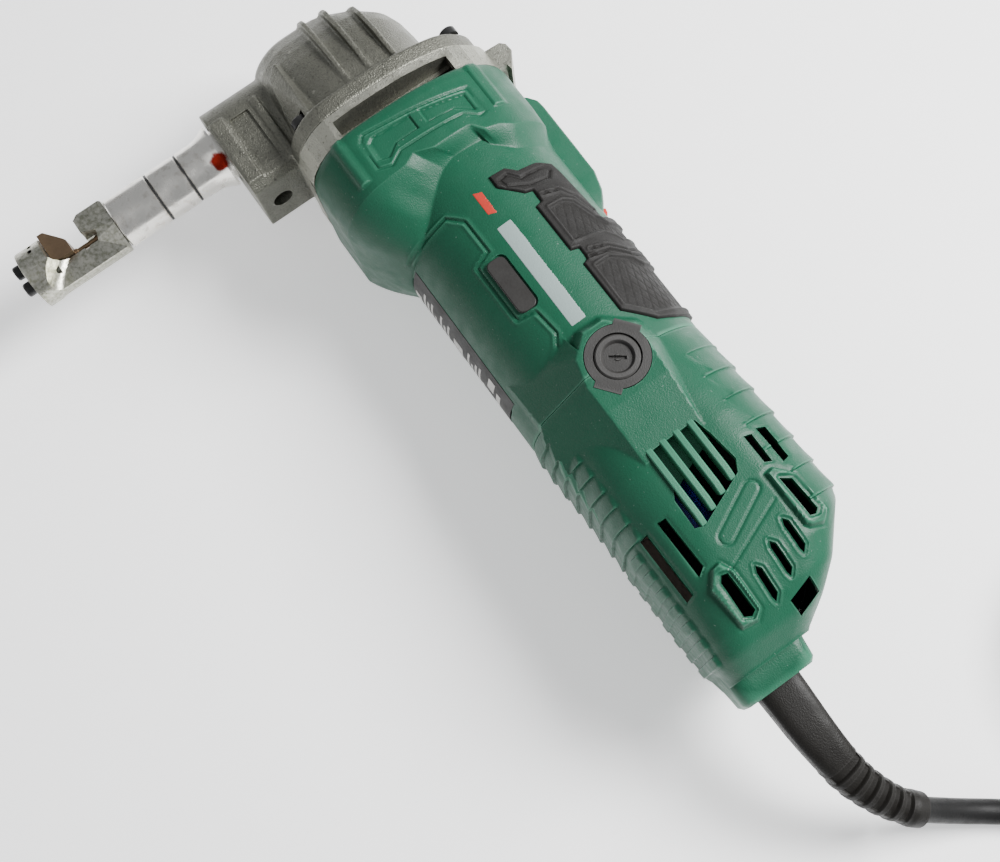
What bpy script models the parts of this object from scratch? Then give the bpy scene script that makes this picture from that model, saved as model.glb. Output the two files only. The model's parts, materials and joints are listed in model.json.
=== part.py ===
"""Electric nibbler tool, lying on its right side, modelled in metres with +Z up.

+X runs forward along the motor axis, +Y is the punching direction of the cutting
arm and +Z is the tool's left side.  The origin is on the table plane, straight
below the motor axis, on the flat land of the housing collar that the tool lies on.
"""
import math

import bmesh
import bpy
from mathutils import Matrix, Vector

MM = 0.001

# ---------------------------------------------------------------- driving sizes
AXIS_Z = 36 * MM  # height of the motor axis above the table
GAP = 0.3 * MM  # clearance between touching pieces
GRIP_R = 31.2 * MM  # outer radius of the grip
SEAM_X = -92.5 * MM  # joint between motor housing and rear cover
HUMP_TOP = 35.8 * MM  # height of the brush humps above the motor axis
PORT_R = 9.8 * MM  # recess in the hump for a brush ring
HOLDER_PORT_R = 7.4 * MM  # hole below it for the brush holder
CORD_Y = 15 * MM  # the cord leaves below the motor axis
ARCH_Y = 12.25 * MM  # middle of the level crest of the arched sides
CREST = 4.1 * MM  # half width of that crest
ARCH = 7.8  # beyond it they fall by ARCH * distance ** 2 metres
ARCH_STEPS = 5  # faces across an arched side

STACK_REAR, STACK_FRONT = -70 * MM, -28 * MM  # ends of the laminated cores
STATOR_BORE_R = 17.6 * MM
SHAFT_R = 4 * MM
SEAT_R = SHAFT_R + 0.25 * MM  # bore of everything that sits on a shaft
SCREW_HOLE_R = 2.2 * MM

ARM_X = 49.5 * MM  # axis of the cutting arm
BOSS_END = 56 * MM
BOSS_R = 14.3 * MM
TUBE_R = 8.75 * MM
TUBE_BORE_R = 6.6 * MM
TUBE_START, TUBE_END = 37.5 * MM, 97 * MM
HEAD_R = 9.9 * MM
HEAD_END = 130 * MM
THROAT_TOP, THROAT_BOTTOM = 108.2 * MM, 121 * MM
PUNCH_R = 1.2 * MM
PUNCH_TIP = 115.5 * MM
STROKE = 5 * MM

MODULE = 0.75 * MM
PINION_TEETH, GEAR_TEETH = 8, 32
GEAR_Y = MODULE * (PINION_TEETH + GEAR_TEETH) / 2  # axis of the eccentric shaft
CRANK_PIN_R = 3 * MM

CORD_R = 3.8 * MM
COIL_CENTRE = Vector((-262.0, -114.0, 0.0)) * MM
COIL_R = 42.5 * MM  # middle of the coiled turns
COIL_HALF_WIDTH, COIL_HEIGHT = 15.4 * MM, 23.0 * MM
TIE_TURN = math.radians(20)  # place of the tie around the coil
TIE_WIDTH, TIE_THICKNESS = 11 * MM, 1.3 * MM
PLUG_TURN = math.radians(-35)  # direction in which the plug points on the coil
PLUG_PLACE = Vector((-274.8, -150.9, 30.8)) * MM


# ---------------------------------------------------------------- scene set-up
for old in list(bpy.data.objects):
    bpy.data.objects.remove(old, do_unlink=True)


def collection(name):
    made = bpy.data.collections.new(name)
    bpy.context.scene.collection.children.link(made)
    return made


PARTS = collection("nibbler")
CUTTERS = collection("cutters")


def material(name, colour, roughness, metallic=0.0):
    made = bpy.data.materials.new(name)
    made.use_nodes = True
    shader = made.node_tree.nodes["Principled BSDF"]
    shader.inputs["Base Color"].default_value = (*colour, 1)
    shader.inputs["Roughness"].default_value = roughness
    shader.inputs["Metallic"].default_value = metallic
    made.diffuse_color = (*colour, 1)
    return made


GREEN = material("green_plastic", (0.03, 0.16, 0.09), 0.5)
RUBBER = material("grip_rubber", (0.05, 0.045, 0.042), 0.8)
CAST = material("cast_aluminium", (0.42, 0.41, 0.38), 0.55, 0.9)
STEEL = material("polished_steel", (0.72, 0.70, 0.66), 0.2, 1.0)
PLATED = material("plated_steel", (0.45, 0.44, 0.36), 0.4, 1.0)
BRONZE = material("tempered_tool_steel", (0.5, 0.33, 0.2), 0.35, 1.0)
BLACK_STEEL = material("black_steel", (0.02, 0.02, 0.02), 0.45, 0.8)
GREY_PLASTIC = material("dark_grey_plastic", (0.045, 0.043, 0.042), 0.5)
RED = material("red_plastic", (0.6, 0.03, 0.02), 0.45)
LABEL = material("label_foil", (0.05, 0.05, 0.05), 0.4)
COPPER = material("copper", (0.7, 0.3, 0.12), 0.35, 1.0)
LAMINATION = material("laminated_iron", (0.3, 0.3, 0.3), 0.5, 0.9)
CARBON = material("carbon", (0.03, 0.03, 0.03), 0.7)
BRASS = material("brass", (0.7, 0.52, 0.2), 0.3, 1.0)
BLUE = material("capacitor_blue", (0.02, 0.03, 0.3), 0.4)
CREAM = material("cream_plastic", (0.5, 0.42, 0.36), 0.5)
CORD_BLACK = material("cord_black", (0.02, 0.02, 0.02), 0.55)


# ---------------------------------------------------------------- shape helpers
def add(name, bm, mat, origin=(0, 0, 0), cutter=False, smooth=True):
    """An object from a bmesh whose coordinates are relative to origin."""
    bmesh.ops.recalc_face_normals(bm, faces=bm.faces)
    mesh = bpy.data.meshes.new(name)
    bm.to_mesh(mesh)
    bm.free()
    if smooth:
        mesh.shade_smooth()
        mesh.set_sharp_from_angle(angle=math.radians(35))
    obj = bpy.data.objects.new(name, mesh)
    obj.location = origin
    if cutter:
        CUTTERS.objects.link(obj)
        obj.hide_render = True
        obj.display_type = "WIRE"
    else:
        PARTS.objects.link(obj)
        mesh.materials.append(mat)
    return obj


def boolean(obj, other, operation="DIFFERENCE"):
    step = obj.modifiers.new(other.name, "BOOLEAN")
    step.operation = operation
    step.solver = "EXACT"
    step.object = other
    return obj


def arch_drop(y):
    return ARCH * max(0, abs(y - ARCH_Y) - CREST) ** 2


def section(x, y0, y1, half_z, radius, corner_points=8, arch=0.0):
    """A rounded rectangle in the YZ plane at x; arch is the share of the arch on its z sides."""
    half_step = math.pi / 4 / corner_points
    reach = radius / math.cos(half_step)
    points = []
    corners = [(y1 - radius, half_z - radius), (y0 + radius, half_z - radius),
               (y0 + radius, radius - half_z), (y1 - radius, radius - half_z)]
    for quarter, (cy, cz) in enumerate(corners):
        for i in range(corner_points):
            a = math.pi / 2 * quarter + (2 * i + 1) * half_step
            points.append(Vector((x, cy + reach * math.cos(a), cz + reach * math.sin(a))))
    for last in (3 * corner_points - 1, corner_points - 1):
        steps = [i / ARCH_STEPS for i in range(1, ARCH_STEPS)]
        points[last + 1:last + 1] = [points[last].lerp(points[last + 1], step) for step in steps]
    for point in points:
        point.z -= arch * arch_drop(point.y) * point.z / half_z
    return points


def loft(sections):
    """A closed skin through sections that have the same number of points."""
    bm = bmesh.new()
    rings = [[bm.verts.new(p) for p in points] for points in sections]
    for a, b in zip(rings, rings[1:]):
        for i in range(len(a)):
            j = (i + 1) % len(a)
            bm.faces.new((a[i], a[j], b[j], b[i]))
    bm.faces.new(rings[0])
    bm.faces.new(rings[-1])
    return bm


def body(table, corner_points=8):
    """A loft along X: rows of x, y0, y1, half_z and radius in millimetres and a share of arch."""
    return loft([section(*(v * MM for v in row[:5]), corner_points, *row[5:]) for row in table])


AXES = {"X": Matrix(((0, 0, 1), (1, 0, 0), (0, 1, 0))),
        "Y": Matrix(((0, 1, 0), (0, 0, 1), (1, 0, 0))),
        "Z": Matrix.Identity(3)}


def prism(outline, low, high, axis="Z"):
    """A flat outline swept along an axis; outlines are (y, z), (z, x) or (x, y)."""
    bm = bmesh.new()
    turn = AXES[axis]
    face = bm.faces.new([bm.verts.new(turn @ Vector((u, v, low))) for u, v in outline])
    swept = bmesh.ops.extrude_face_region(bm, geom=[face])
    shift = turn @ Vector((0, 0, high - low))
    verts = [g for g in swept["geom"] if isinstance(g, bmesh.types.BMVert)]
    bmesh.ops.translate(bm, verts=verts, vec=shift)
    return bm


def block(x0, x1, y0, y1, z0, z1):
    bm = bmesh.new()
    bmesh.ops.create_cube(bm, size=1)
    bmesh.ops.scale(bm, vec=(x1 - x0, y1 - y0, z1 - z0), verts=bm.verts)
    bmesh.ops.translate(bm, vec=((x0 + x1) / 2, (y0 + y1) / 2, (z0 + z1) / 2), verts=bm.verts)
    return bm


def rod(radius, low, high, axis, centre=(0, 0, 0), sides=24):
    """A cylinder along an axis through centre."""
    bm = bmesh.new()
    bmesh.ops.create_cone(bm, cap_ends=True, segments=sides, radius1=radius, radius2=radius,
                          depth=high - low)
    bmesh.ops.translate(bm, vec=(0, 0, (low + high) / 2), verts=bm.verts)
    bmesh.ops.rotate(bm, matrix=AXES[axis], verts=bm.verts)
    bmesh.ops.translate(bm, vec=centre, verts=bm.verts)
    return bm


def turned(name, profile, axis, mat, origin, sides=24, closed=False):
    """A turned piece: profile rows are (radius, height), running down its outer side."""
    bm = bmesh.new()
    verts = [bm.verts.new((r, 0, h)) for r, h in profile]
    edges = list(zip(verts, verts[1:]))
    if closed:
        edges.append((verts[-1], verts[0]))
    for a, b in edges:
        bm.edges.new((a, b))
    mesh = bpy.data.meshes.new(name)
    bm.to_mesh(mesh)
    bm.free()
    obj = bpy.data.objects.new(name, mesh)
    PARTS.objects.link(obj)
    mesh.materials.append(mat)
    obj.matrix_world = Matrix.Translation(origin) @ AXES[axis].to_4x4()
    screw = obj.modifiers.new("turn", "SCREW")
    screw.steps = screw.render_steps = sides
    screw.use_merge_vertices = True
    screw.merge_threshold = 0.00001
    screw.use_smooth_shade = False
    return obj


def bushing(name, inner, outer, low, high, axis, mat, origin, sides=24):
    """A plain ring: a bearing, a bush or a sleeve."""
    profile = [(inner, high), (outer, high), (outer, low), (inner, low)]
    return turned(name, profile, axis, mat, origin, sides, closed=True)


AXIS = Vector((0, 0, AXIS_Z))  # parts on the motor axis are modelled around it
ARM = Vector((ARM_X, 0, AXIS_Z))  # parts on the arm axis are modelled around it


def cut(obj, name, bm, origin=AXIS):
    return boolean(obj, add(name, bm, None, origin, cutter=True))


def join(obj, name, bm, origin=AXIS):
    return boolean(obj, add(name, bm, None, origin, cutter=True), "UNION")


# ---------------------------------------------------------------- gear case
CASE_SCREWS = [(y * MM, z * MM) for y, z in ((-23.5, 19.5), (31.5, 24.5), (-23.5, -19.5), (31.5, -24.5))]
RIBS = {12.2: [(27, 31.3), (40, 30.3), (50, 28.6), (57, 26), (60, 22.5), (61.5, 18)],
        4.6: [(27, 31.2), (40, 30), (50, 28), (57, 25), (60, 21.5), (61.3, 18)],
        -4: [(27, 30.6), (40, 29), (50, 25.5), (55, 22), (57.5, 18.5), (59, 14)]}  # y: crest (x, z)


def gear_case():
    """Cast head: flange, ribbed dome and the boss that clamps the arm."""
    case = add("gear_case", body([
        (27.5, -17.5, 35, 30.6, 20, 1), (40, -16.6, 35, 28, 19, 1), (50, -14.8, 35, 25, 18, 1),
        (57, -9.6, 34.5, 20.6, 15, 1), (62, -3.5, 32, 14.4, 12, 1), (66, 3.5, 26, 7.4, 7, 1)], 6),
        CAST, AXIS)
    join(case, "case_flange", body([
        (21.6, -29.6, 38.3, 32.8, 13.5, 1), (26.7, -29.6, 38.3, 32.8, 13.5, 1),
        (27.6, -28.7, 37.4, 31.9, 13, 1)], 4))
    nose = [(math.sin(a) * BOSS_R, ARM_X + math.cos(a) * BOSS_R)
            for a in (math.pi * (i / 14 - 0.5) for i in range(15))]
    rear = 24.5 * MM
    join(case, "case_boss", prism([(-BOSS_R, rear)] + nose + [(BOSS_R, rear)],
                                  30 * MM, BOSS_END, "Y"))
    for side in (1, -1):
        for y, crest in RIBS.items():
            profile = crest + [(crest[-1][0] - 1, 10), (27, 10)]
            rib = prism([(x * MM, side * z * MM) for x, z in profile], -y * MM - MM, -y * MM + MM)
            bmesh.ops.rotate(rib, matrix=Matrix.Rotation(math.pi / 2, 3, "X"), verts=rib.verts)
            join(case, "case_rib", rib)
        gusset = bmesh.new()
        for x, y, z in ((53.4, 26.8, 22), (27, 28.2, 30.2), (51, 31.2, 19.5), (27, 35.6, 17.5),
                        (27, 22, 24), (50, 23, 14), (51, 31, 8), (27, 35, 8)):
            gusset.verts.new((x * MM, y * MM, side * z * MM))
        bmesh.ops.convex_hull(gusset, input=gusset.verts)
        join(case, "case_gusset", gusset)
        cut(case, "boss_panel", block(29.9 * MM, 50.5 * MM, 41.6 * MM, 48.5 * MM,
                                      side * (BOSS_R - 0.9 * MM), side * 16 * MM))
    cut(case, "case_cavity", body([
        (21, -14.5, 31.5, 24, 16, 1), (40, -13.6, 31.5, 24, 16, 1), (52, -11, 31.5, 19.5, 14, 1),
        (60, -2, 28, 11.5, 9, 1)], 5))
    cut(case, "yoke_room", block(44 * MM, 55 * MM, 26 * MM, 36.6 * MM, -12 * MM, 12 * MM))
    cut(case, "arm_bore", rod(TUBE_R + 0.25 * MM, 36 * MM, 57 * MM, "Y", (ARM_X, 0, 0), 32))
    cut(case, "clamp_thread", rod(3.5 * MM, 23 * MM, 42 * MM, "X", (0, 48 * MM, 0), 16))
    cut(case, "shaft_seat", rod(5.5 * MM, 58 * MM, 64.4 * MM, "X", (0, GEAR_Y, 0), 20))
    for y, z in CASE_SCREWS:
        cut(case, "case_screw_hole", rod(SCREW_HOLE_R, 20 * MM, 28 * MM, "X", (0, y, z), 12))
        cut(case, "case_screw_recess", rod(3.5 * MM, 27.5 * MM, 42 * MM, "X", (0, y, z), 16))


def case_screws():
    """Four cap screws through the flange into the bearing plate."""
    for number, (y, z) in enumerate(CASE_SCREWS, 1):
        turned("case_screw_%d" % number,
               [(0, 30.6 * MM), (2.6 * MM, 30.6 * MM), (3 * MM, 30.1 * MM), (3 * MM, 27.8 * MM),
                (1.9 * MM, 27.8 * MM), (1.9 * MM, 17 * MM), (0, 17 * MM)],
               "X", BLACK_STEEL, AXIS + Vector((0, y, z)), 12)


def clamp_screw():
    """Grub screw in the boss that bears on the arm tube."""
    screw = add("clamp_screw", rod(3.25 * MM, 28 * MM, 40 * MM, "X", (0, 48 * MM, 0), 16),
                BLACK_STEEL, AXIS)
    cut(screw, "clamp_hex", rod(1.8 * MM, 27 * MM, 32 * MM, "X", (0, 48 * MM, 0), 6))


def bearing_plate():
    """Cast plate between gear case and housing, with the two bearing seats and air windows."""
    plate = add("bearing_plate", body([
        (12.7, -31.2, 39, 33.4, 15, 1), (21.3, -31.2, 39, 33.4, 15, 1)], 5), CAST, AXIS)
    cut(plate, "plate_hollow", body([
        (12, -28.2, 36, 29.6, 12.5, 1), (17.4, -28.2, 36, 29.6, 12.5, 1)], 4))
    for side in (1, -1):
        cut(plate, "plate_window", block(12 * MM, 18.8 * MM, -16.5 * MM, 24.6 * MM,
                                         side * 23 * MM, side * 36 * MM))
    cut(plate, "plate_window", block(12 * MM, 16.2 * MM, 32 * MM, 41 * MM, -16 * MM, 16 * MM))
    join(plate, "bearing_hub", rod(12 * MM, 10 * MM, 18.5 * MM, "X", (0, 0, 0), 24))
    join(plate, "bush_hub", rod(8 * MM, 10 * MM, 18.5 * MM, "X", (0, GEAR_Y, 0), 20))
    lug = [(13.2, -29.5), (21, -29.5), (20.6, -36.6), (19, -38.2), (16, -38.4), (10.4, -34.6),
           (12.7, -34.3)]
    join(plate, "plate_lug", prism([(x * MM, y * MM) for x, y in lug], -13 * MM, 13 * MM))
    cut(plate, "bearing_seat", rod(9.65 * MM, 9 * MM, 18.3 * MM, "X", (0, 0, 0), 24))
    cut(plate, "bush_seat", rod(4.6 * MM, 9 * MM, 22 * MM, "X", (0, GEAR_Y, 0), 20))
    cut(plate, "shaft_hole", rod(5 * MM, 17 * MM, 22 * MM, "X", (0, 0, 0), 20))
    for y, z in CASE_SCREWS:
        cut(plate, "plate_screw_hole", rod(SCREW_HOLE_R, 16.5 * MM, 22 * MM, "X", (0, y, z), 12))


# ---------------------------------------------------------------- motor housing
def saddle(start, end, gap_end, first, radius):
    """An open skin on a cylinder about X over the tool's top, slit from gap_end to start.

    first is the angle at which it begins, measured from the left side towards the top,
    and the right side repeats the left."""
    bm = bmesh.new()
    slit = math.radians(56)
    stations = [end + (gap_end - end) * i / 3 for i in range(4)]
    stations += [gap_end + (start - gap_end) * i / 2 for i in (1, 2)]
    angles = [first + (slit - first) * i / 4 for i in range(5)]
    angles += [slit + (math.pi / 2 - slit) * i / 3 for i in (1, 2, 3)]
    angles += [math.pi - a for a in reversed(angles[:-1])]
    rows = [[bm.verts.new((x, -radius * math.sin(a), radius * math.cos(a))) for a in angles]
            for x in stations]
    for i, (near, far) in enumerate(zip(rows, rows[1:])):
        for j in range(len(angles) - 1):
            if i < 3 or not 4 <= j < len(angles) - 5:
                bm.faces.new((near[j], near[j + 1], far[j + 1], far[j]))
    for vert in [v for v in bm.verts if not v.link_faces]:
        bm.verts.remove(vert)
    return bm


def overmould(name, mat, grow, radius, thickness, cutter=False):
    """The rubber grip, or the pocket for it, as a solidified skin."""
    first = math.radians(18) - grow / GRIP_R
    bm = saddle(-19 * MM + grow, -88.5 * MM - grow, -49.5 * MM + grow, first, radius)
    obj = add(name, bm, mat, AXIS, cutter)
    shell = obj.modifiers.new("thickness", "SOLIDIFY")
    shell.thickness = thickness
    shell.offset = -1
    return obj


def motor_housing():
    """Front shell: collar, grip, switch guard and the front halves of the brush humps."""
    housing = add("motor_housing", body([
        (12.4, -31, 39, 35, 16, 1), (10.5, -31.6, 40, 36, 16.5, 1), (-6, -31.6, 40, 36, 16.5, 1),
        (-8.5, -31.2, 39.6, 35.2, 17, 0.85), (-14, -31, 37, 32.6, 20, 0.45),
        (-19.5, -31.2, 34, 31.2, 27, 0.15), (-25, -31.2, 31.2, 31.2, 31.15),
        (-92.4, -31.2, 31.2, 31.2, 31.15)]), GREEN, AXIS)
    guard = [(-16, -24), (-14, -27.5), (-7.5, -37.2), (7.5, -37.2), (14, -27.5), (16, -24)]
    rail = prism([(y * MM, z * MM) for z, y in guard], -45 * MM, 1 * MM, "X")
    for v in rail.verts:
        if v.co.x < -40 * MM and v.co.y < -30 * MM:
            v.co.x += 12 * MM
    join(housing, "switch_guard", rail)
    for side in (1, -1):
        join(housing, "hump_front", hump(side, -80.5, -92.4))
    join(housing, "rest_land", block(-5.8 * MM, 10.4 * MM, -2.4 * MM, 10 * MM, -AXIS_Z, -33 * MM))
    cut(housing, "housing_hollow", body([
        (13, -29, 37, 32.8, 14.5, 1), (-6, -28.6, 37, 32.8, 14.5, 1),
        (-13, -28.4, 34.2, 29.8, 19, 0.45), (-25, -28.6, 28.6, 28.6, 28.55),
        (-93, -28.6, 28.6, 28.6, 28.55)], 6))
    cut(housing, "switch_slot", block(-48 * MM, -22 * MM, -38 * MM, -25 * MM, -5 * MM, 5 * MM))
    boolean(housing, overmould("rubber_pocket", None, GAP, 34 * MM, 3.6 * MM, cutter=True))
    cut(housing, "nameplate_pocket", block(-81 * MM, -27 * MM, 30 * MM, 33 * MM, -13.2 * MM, 13.2 * MM))
    cut(housing, "badge_pocket", block(-65.2 * MM, -44.8 * MM, 6.4 * MM, 14.6 * MM, 29 * MM, 33 * MM))
    for side in (1, -1):
        brush_ports(housing, side)
        ends = ([(4.5, -2.5), (4.5, -14.5), (-6.2, -14.5), (-2.6, -8.5), (-1.4, -2.5)],
                [(4.5, 4.0), (4.5, 21.5), (-6.2, 21.5), (-2.6, 14.5), (-1.4, 4.0)])
        for outline in ends:
            z0, z1 = sorted((side * 35.3 * MM, side * 37 * MM))
            panel = prism([(x * MM, y * MM) for x, y in outline], z0, z1)
            for v in panel.verts:
                v.co.z -= side * arch_drop(v.co.y)
            cut(housing, "collar_panel", panel)


def hump(side, front, rear):
    """The raised pad around a brush cap, between two stations given in millimetres."""
    outline = [(front, -5), (front, 8), (front - 6, 12.5), (rear, 12.5), (rear, -9.5), (front - 6, -9.5)]
    if front < -92:
        outline = [(front, -9.5), (front, 12.5), (rear, 12.5), (rear, -9.5)]
    z0, z1 = sorted((side * 22 * MM, side * HUMP_TOP))
    return prism([(x * MM, y * MM) for x, y in outline], z0, z1)


def brush_ports(shell, side):
    """The recess for a brush ring and the hole for its holder, shared by both shells."""
    z0, z1 = sorted((side * 33 * MM, side * 40 * MM))
    cut(shell, "brush_port", rod(PORT_R, z0, z1, "Z", (SEAM_X, 0, 0), 24))
    z0, z1 = sorted((side * 24 * MM, side * 34 * MM))
    cut(shell, "holder_port", rod(HOLDER_PORT_R, z0, z1, "Z", (SEAM_X, 0, 0), 20))


def grip_overmould():
    overmould("grip_overmould", RUBBER, 0, 32.4 * MM, 1.7 * MM)


def plates():
    """Rating plate on the underside and small badge plate on the left side."""
    add("nameplate", block(-80.7 * MM, -27.3 * MM, 30.3 * MM, 30.9 * MM, -9.5 * MM, 9.5 * MM),
        LABEL, AXIS)
    add("badge_plate", block(-64.9 * MM, -45.1 * MM, 6.7 * MM, 14.3 * MM, 29.3 * MM, 29.9 * MM),
        LABEL, AXIS)


# ---------------------------------------------------------------- rear cover
COVER = [(-92.6, -31.2, 31.2, 31.2, 31.15), (-105, -32.6, 31.2, 32, 27), (-122, -33.8, 31, 33, 21),
         (-156, -34, 31, 33.4, 19), (-163, -29, 31, 33, 17), (-171, -22, 30.6, 30.5, 14),
         (-177.5, -13.5, 30, 26, 12), (-183.5, -2, 28.5, 19, 9)]
WALL = 2.6
SMALL_SLOTS = [(-160.5, -8.4), (-163.5, -1.7), (-166.5, 5.2)]


def rear_half(name, side):
    """Half of the rear cover, split on the tool's middle plane."""
    cover = add(name, body(COVER), GREEN, AXIS)
    join(cover, "cord_collar", body([(-176, 1, 28, 12, 5), (-189.5, 2.5, 27.2, 11.5, 5),
                                     (-191, 3.5, 26.2, 10.5, 4.5)], 4))
    join(cover, "hump_rear", hump(side, -92.6, -121))
    inner = [(x + (2 if x > -93 else 0), y0 + WALL, y1 - WALL, z - WALL, r - WALL)
             for x, y0, y1, z, r in COVER[:-1]] + [(-181, -4, 27, 19, 9)]
    cut(cover, "cover_hollow", body(inner, 6))
    bulkhead = rod(30 * MM, -117.5 * MM, -109.5 * MM, "X", (0, 0, 0), 32)
    join(cover, "bearing_wall", bulkhead)
    cut(cover, "rear_bearing_seat", rod(10.9 * MM, -116.4 * MM, -109 * MM, "X", (0, 0, 0), 24))
    cut(cover, "rear_shaft_hole", rod(5 * MM, -118 * MM, -109 * MM, "X", (0, 0, 0), 16))
    brush_ports(cover, side)
    z0, z1 = sorted((side * 20 * MM, side * 37 * MM))
    for y in (-7.6, -3, 1.7, 6.6, 11.6):
        cut(cover, "louvre_slot", block(-141.5 * MM, -121.6 * MM, (y - 1.3) * MM, (y + 1.3) * MM,
                                        z0, z1))
    for x, y in SMALL_SLOTS:
        slot = [(x - 6, y + 0.6), (x - 4.5, y + 1.3), (x + 6, y + 0.4), (x + 5, y - 1.1), (x - 5.5, y - 0.6)]
        cut(cover, "small_slot", prism([(u * MM, v * MM) for u, v in slot], z0, z1))
    for x0, x1, y in ((-155.5, -136, 18), (-158.5, -136.5, 24), (-141, -130, -16.5),
                      (-142.5, -131, -21.5)):
        cut(cover, "side_slot", block(x0 * MM, x1 * MM, (y - 1.5) * MM, (y + 1.5) * MM,
                                      *sorted((side * 15 * MM, side * 37 * MM))))
    for x, y in ((-152.5, -17.8), (-163.5, 13)):
        frame = [(x + 10.5, y - 2), (x + 7.5, y - 3.6), (x - 9, y - 3.2), (x - 10.5, y), (x - 8.5, y + 3.4),
                 (x + 10.5, y + 1.6)]
        hole = [(x + 7, y - 1.5), (x - 7.5, y - 1.4), (x - 8, y + 1.3), (x + 5.5, y + 1.2)]
        z_top = 34.4 if y > 0 else 33
        join(cover, "vent_frame", prism([(u * MM, v * MM) for u, v in frame],
                                        *sorted((side * 26 * MM, side * z_top * MM))))
        cut(cover, "vent_hole", prism([(u * MM, v * MM) for u, v in hole], z0, z1))
    cut(cover, "screw_pocket", block(-179 * MM, -171.5 * MM, -6 * MM, 1 * MM,
                                     *sorted((side * 12 * MM, side * 34 * MM))))
    cut(cover, "cord_way", rod(8.2 * MM, -192 * MM, -178 * MM, "X", (0, CORD_Y, 0), 20))
    other = sorted((side * 0.15 * MM, -side * 60 * MM))
    cut(cover, "split_plane", block(-200 * MM, -80 * MM, -60 * MM, 60 * MM, *other))


# ---------------------------------------------------------------- motor
def stator():
    """Laminated field core with its two coils."""
    core = add("stator_core", rod(28.2 * MM, STACK_REAR, STACK_FRONT, "X", (0, 0, 0), 32), LAMINATION, AXIS)
    cut(core, "stator_bore", rod(STATOR_BORE_R, -71 * MM, -27 * MM, "X", (0, 0, 0), 28))
    for side in (1, -1):
        cut(core, "coil_window", block(-71 * MM, -27 * MM, -14.5 * MM, 14.5 * MM,
                                       *sorted((side * 9.5 * MM, side * 22 * MM))))
        coil = add("field_coil_%s" % ("upper" if side > 0 else "lower"),
                   block(-78 * MM, -20 * MM, -14.1 * MM, 14.1 * MM,
                         *sorted((side * 10.2 * MM, side * 21.6 * MM))), COPPER, AXIS)
        cut(coil, "coil_bore", rod(18 * MM, -80 * MM, -18 * MM, "X", (0, 0, 0), 28))


def armature():
    turned("armature_shaft", [
        (0, 23.6 * MM), (3 * MM, 23.6 * MM), (3.4 * MM, 20 * MM), (3.4 * MM, 12 * MM), (SHAFT_R, 11.6 * MM),
        (SHAFT_R, -108 * MM), (3.4 * MM, -108.4 * MM), (3.4 * MM, -116.5 * MM), (0, -116.5 * MM)],
        "X", STEEL, AXIS, 20)
    core_outline = []
    slots = 12
    for i in range(slots):
        a = 2 * math.pi * i / slots
        for r, da in ((16.9, -0.2), (16.9, 0.0), (16.9, 0.2), (13.2, 0.22), (13.2, 0.3236 - 0.02)):
            core_outline.append((r * MM * math.cos(a + da), r * MM * math.sin(a + da)))
    core = add("armature_core", prism(core_outline, STACK_REAR, STACK_FRONT, "X"), LAMINATION, AXIS)
    cut(core, "core_bore", rod(SEAT_R, -71 * MM, -27 * MM, "X", (0, 0, 0), 16))
    for name, near, far in (("front", -27.7, -20), ("rear", -70.3, -79)):
        low, high = sorted((near * MM, far * MM))
        mid = (low + high) / 2
        turned("winding_" + name, [
            (SEAT_R, high), (12 * MM, high), (15.2 * MM, mid + MM), (15.2 * MM, mid - MM),
            (12 * MM, low), (SEAT_R, low)], "X", COPPER, AXIS, 24, closed=True)
    bushing("commutator", SEAT_R, 10.8 * MM, -103 * MM, -82 * MM, "X", COPPER, AXIS, 24)
    bushing("front_bearing", 3.7 * MM, 9.4 * MM, 12 * MM, 18 * MM, "X", STEEL, AXIS, 24)
    bushing("rear_bearing", 3.7 * MM, 10.6 * MM, -116.2 * MM, -110 * MM, "X", STEEL, AXIS, 24)


def fan():
    """Radial fan just behind the bearing plate, on the armature shaft."""
    wheel = add("fan", rod(26.5 * MM, -12 * MM, -10 * MM, "X", (0, 0, 0), 28), GREY_PLASTIC, AXIS)
    join(wheel, "fan_hub", rod(7 * MM, -12 * MM, 2 * MM, "X", (0, 0, 0), 16))
    blades = 9
    for i in range(blades):
        blade = block(-11 * MM, 0 * MM, 9 * MM, 26 * MM, -0.7 * MM, 0.7 * MM)
        bmesh.ops.rotate(blade, matrix=Matrix.Rotation(2 * math.pi * i / blades, 3, "X"),
                         verts=blade.verts)
        join(wheel, "fan_blade", blade)
    cut(wheel, "fan_bore", rod(SEAT_R, -13 * MM, 3 * MM, "X", (0, 0, 0), 16))
    bushing("fan_baffle", 19 * MM, 27.9 * MM, -18.5 * MM, -15 * MM, "X", GREY_PLASTIC, AXIS, 28)


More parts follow.
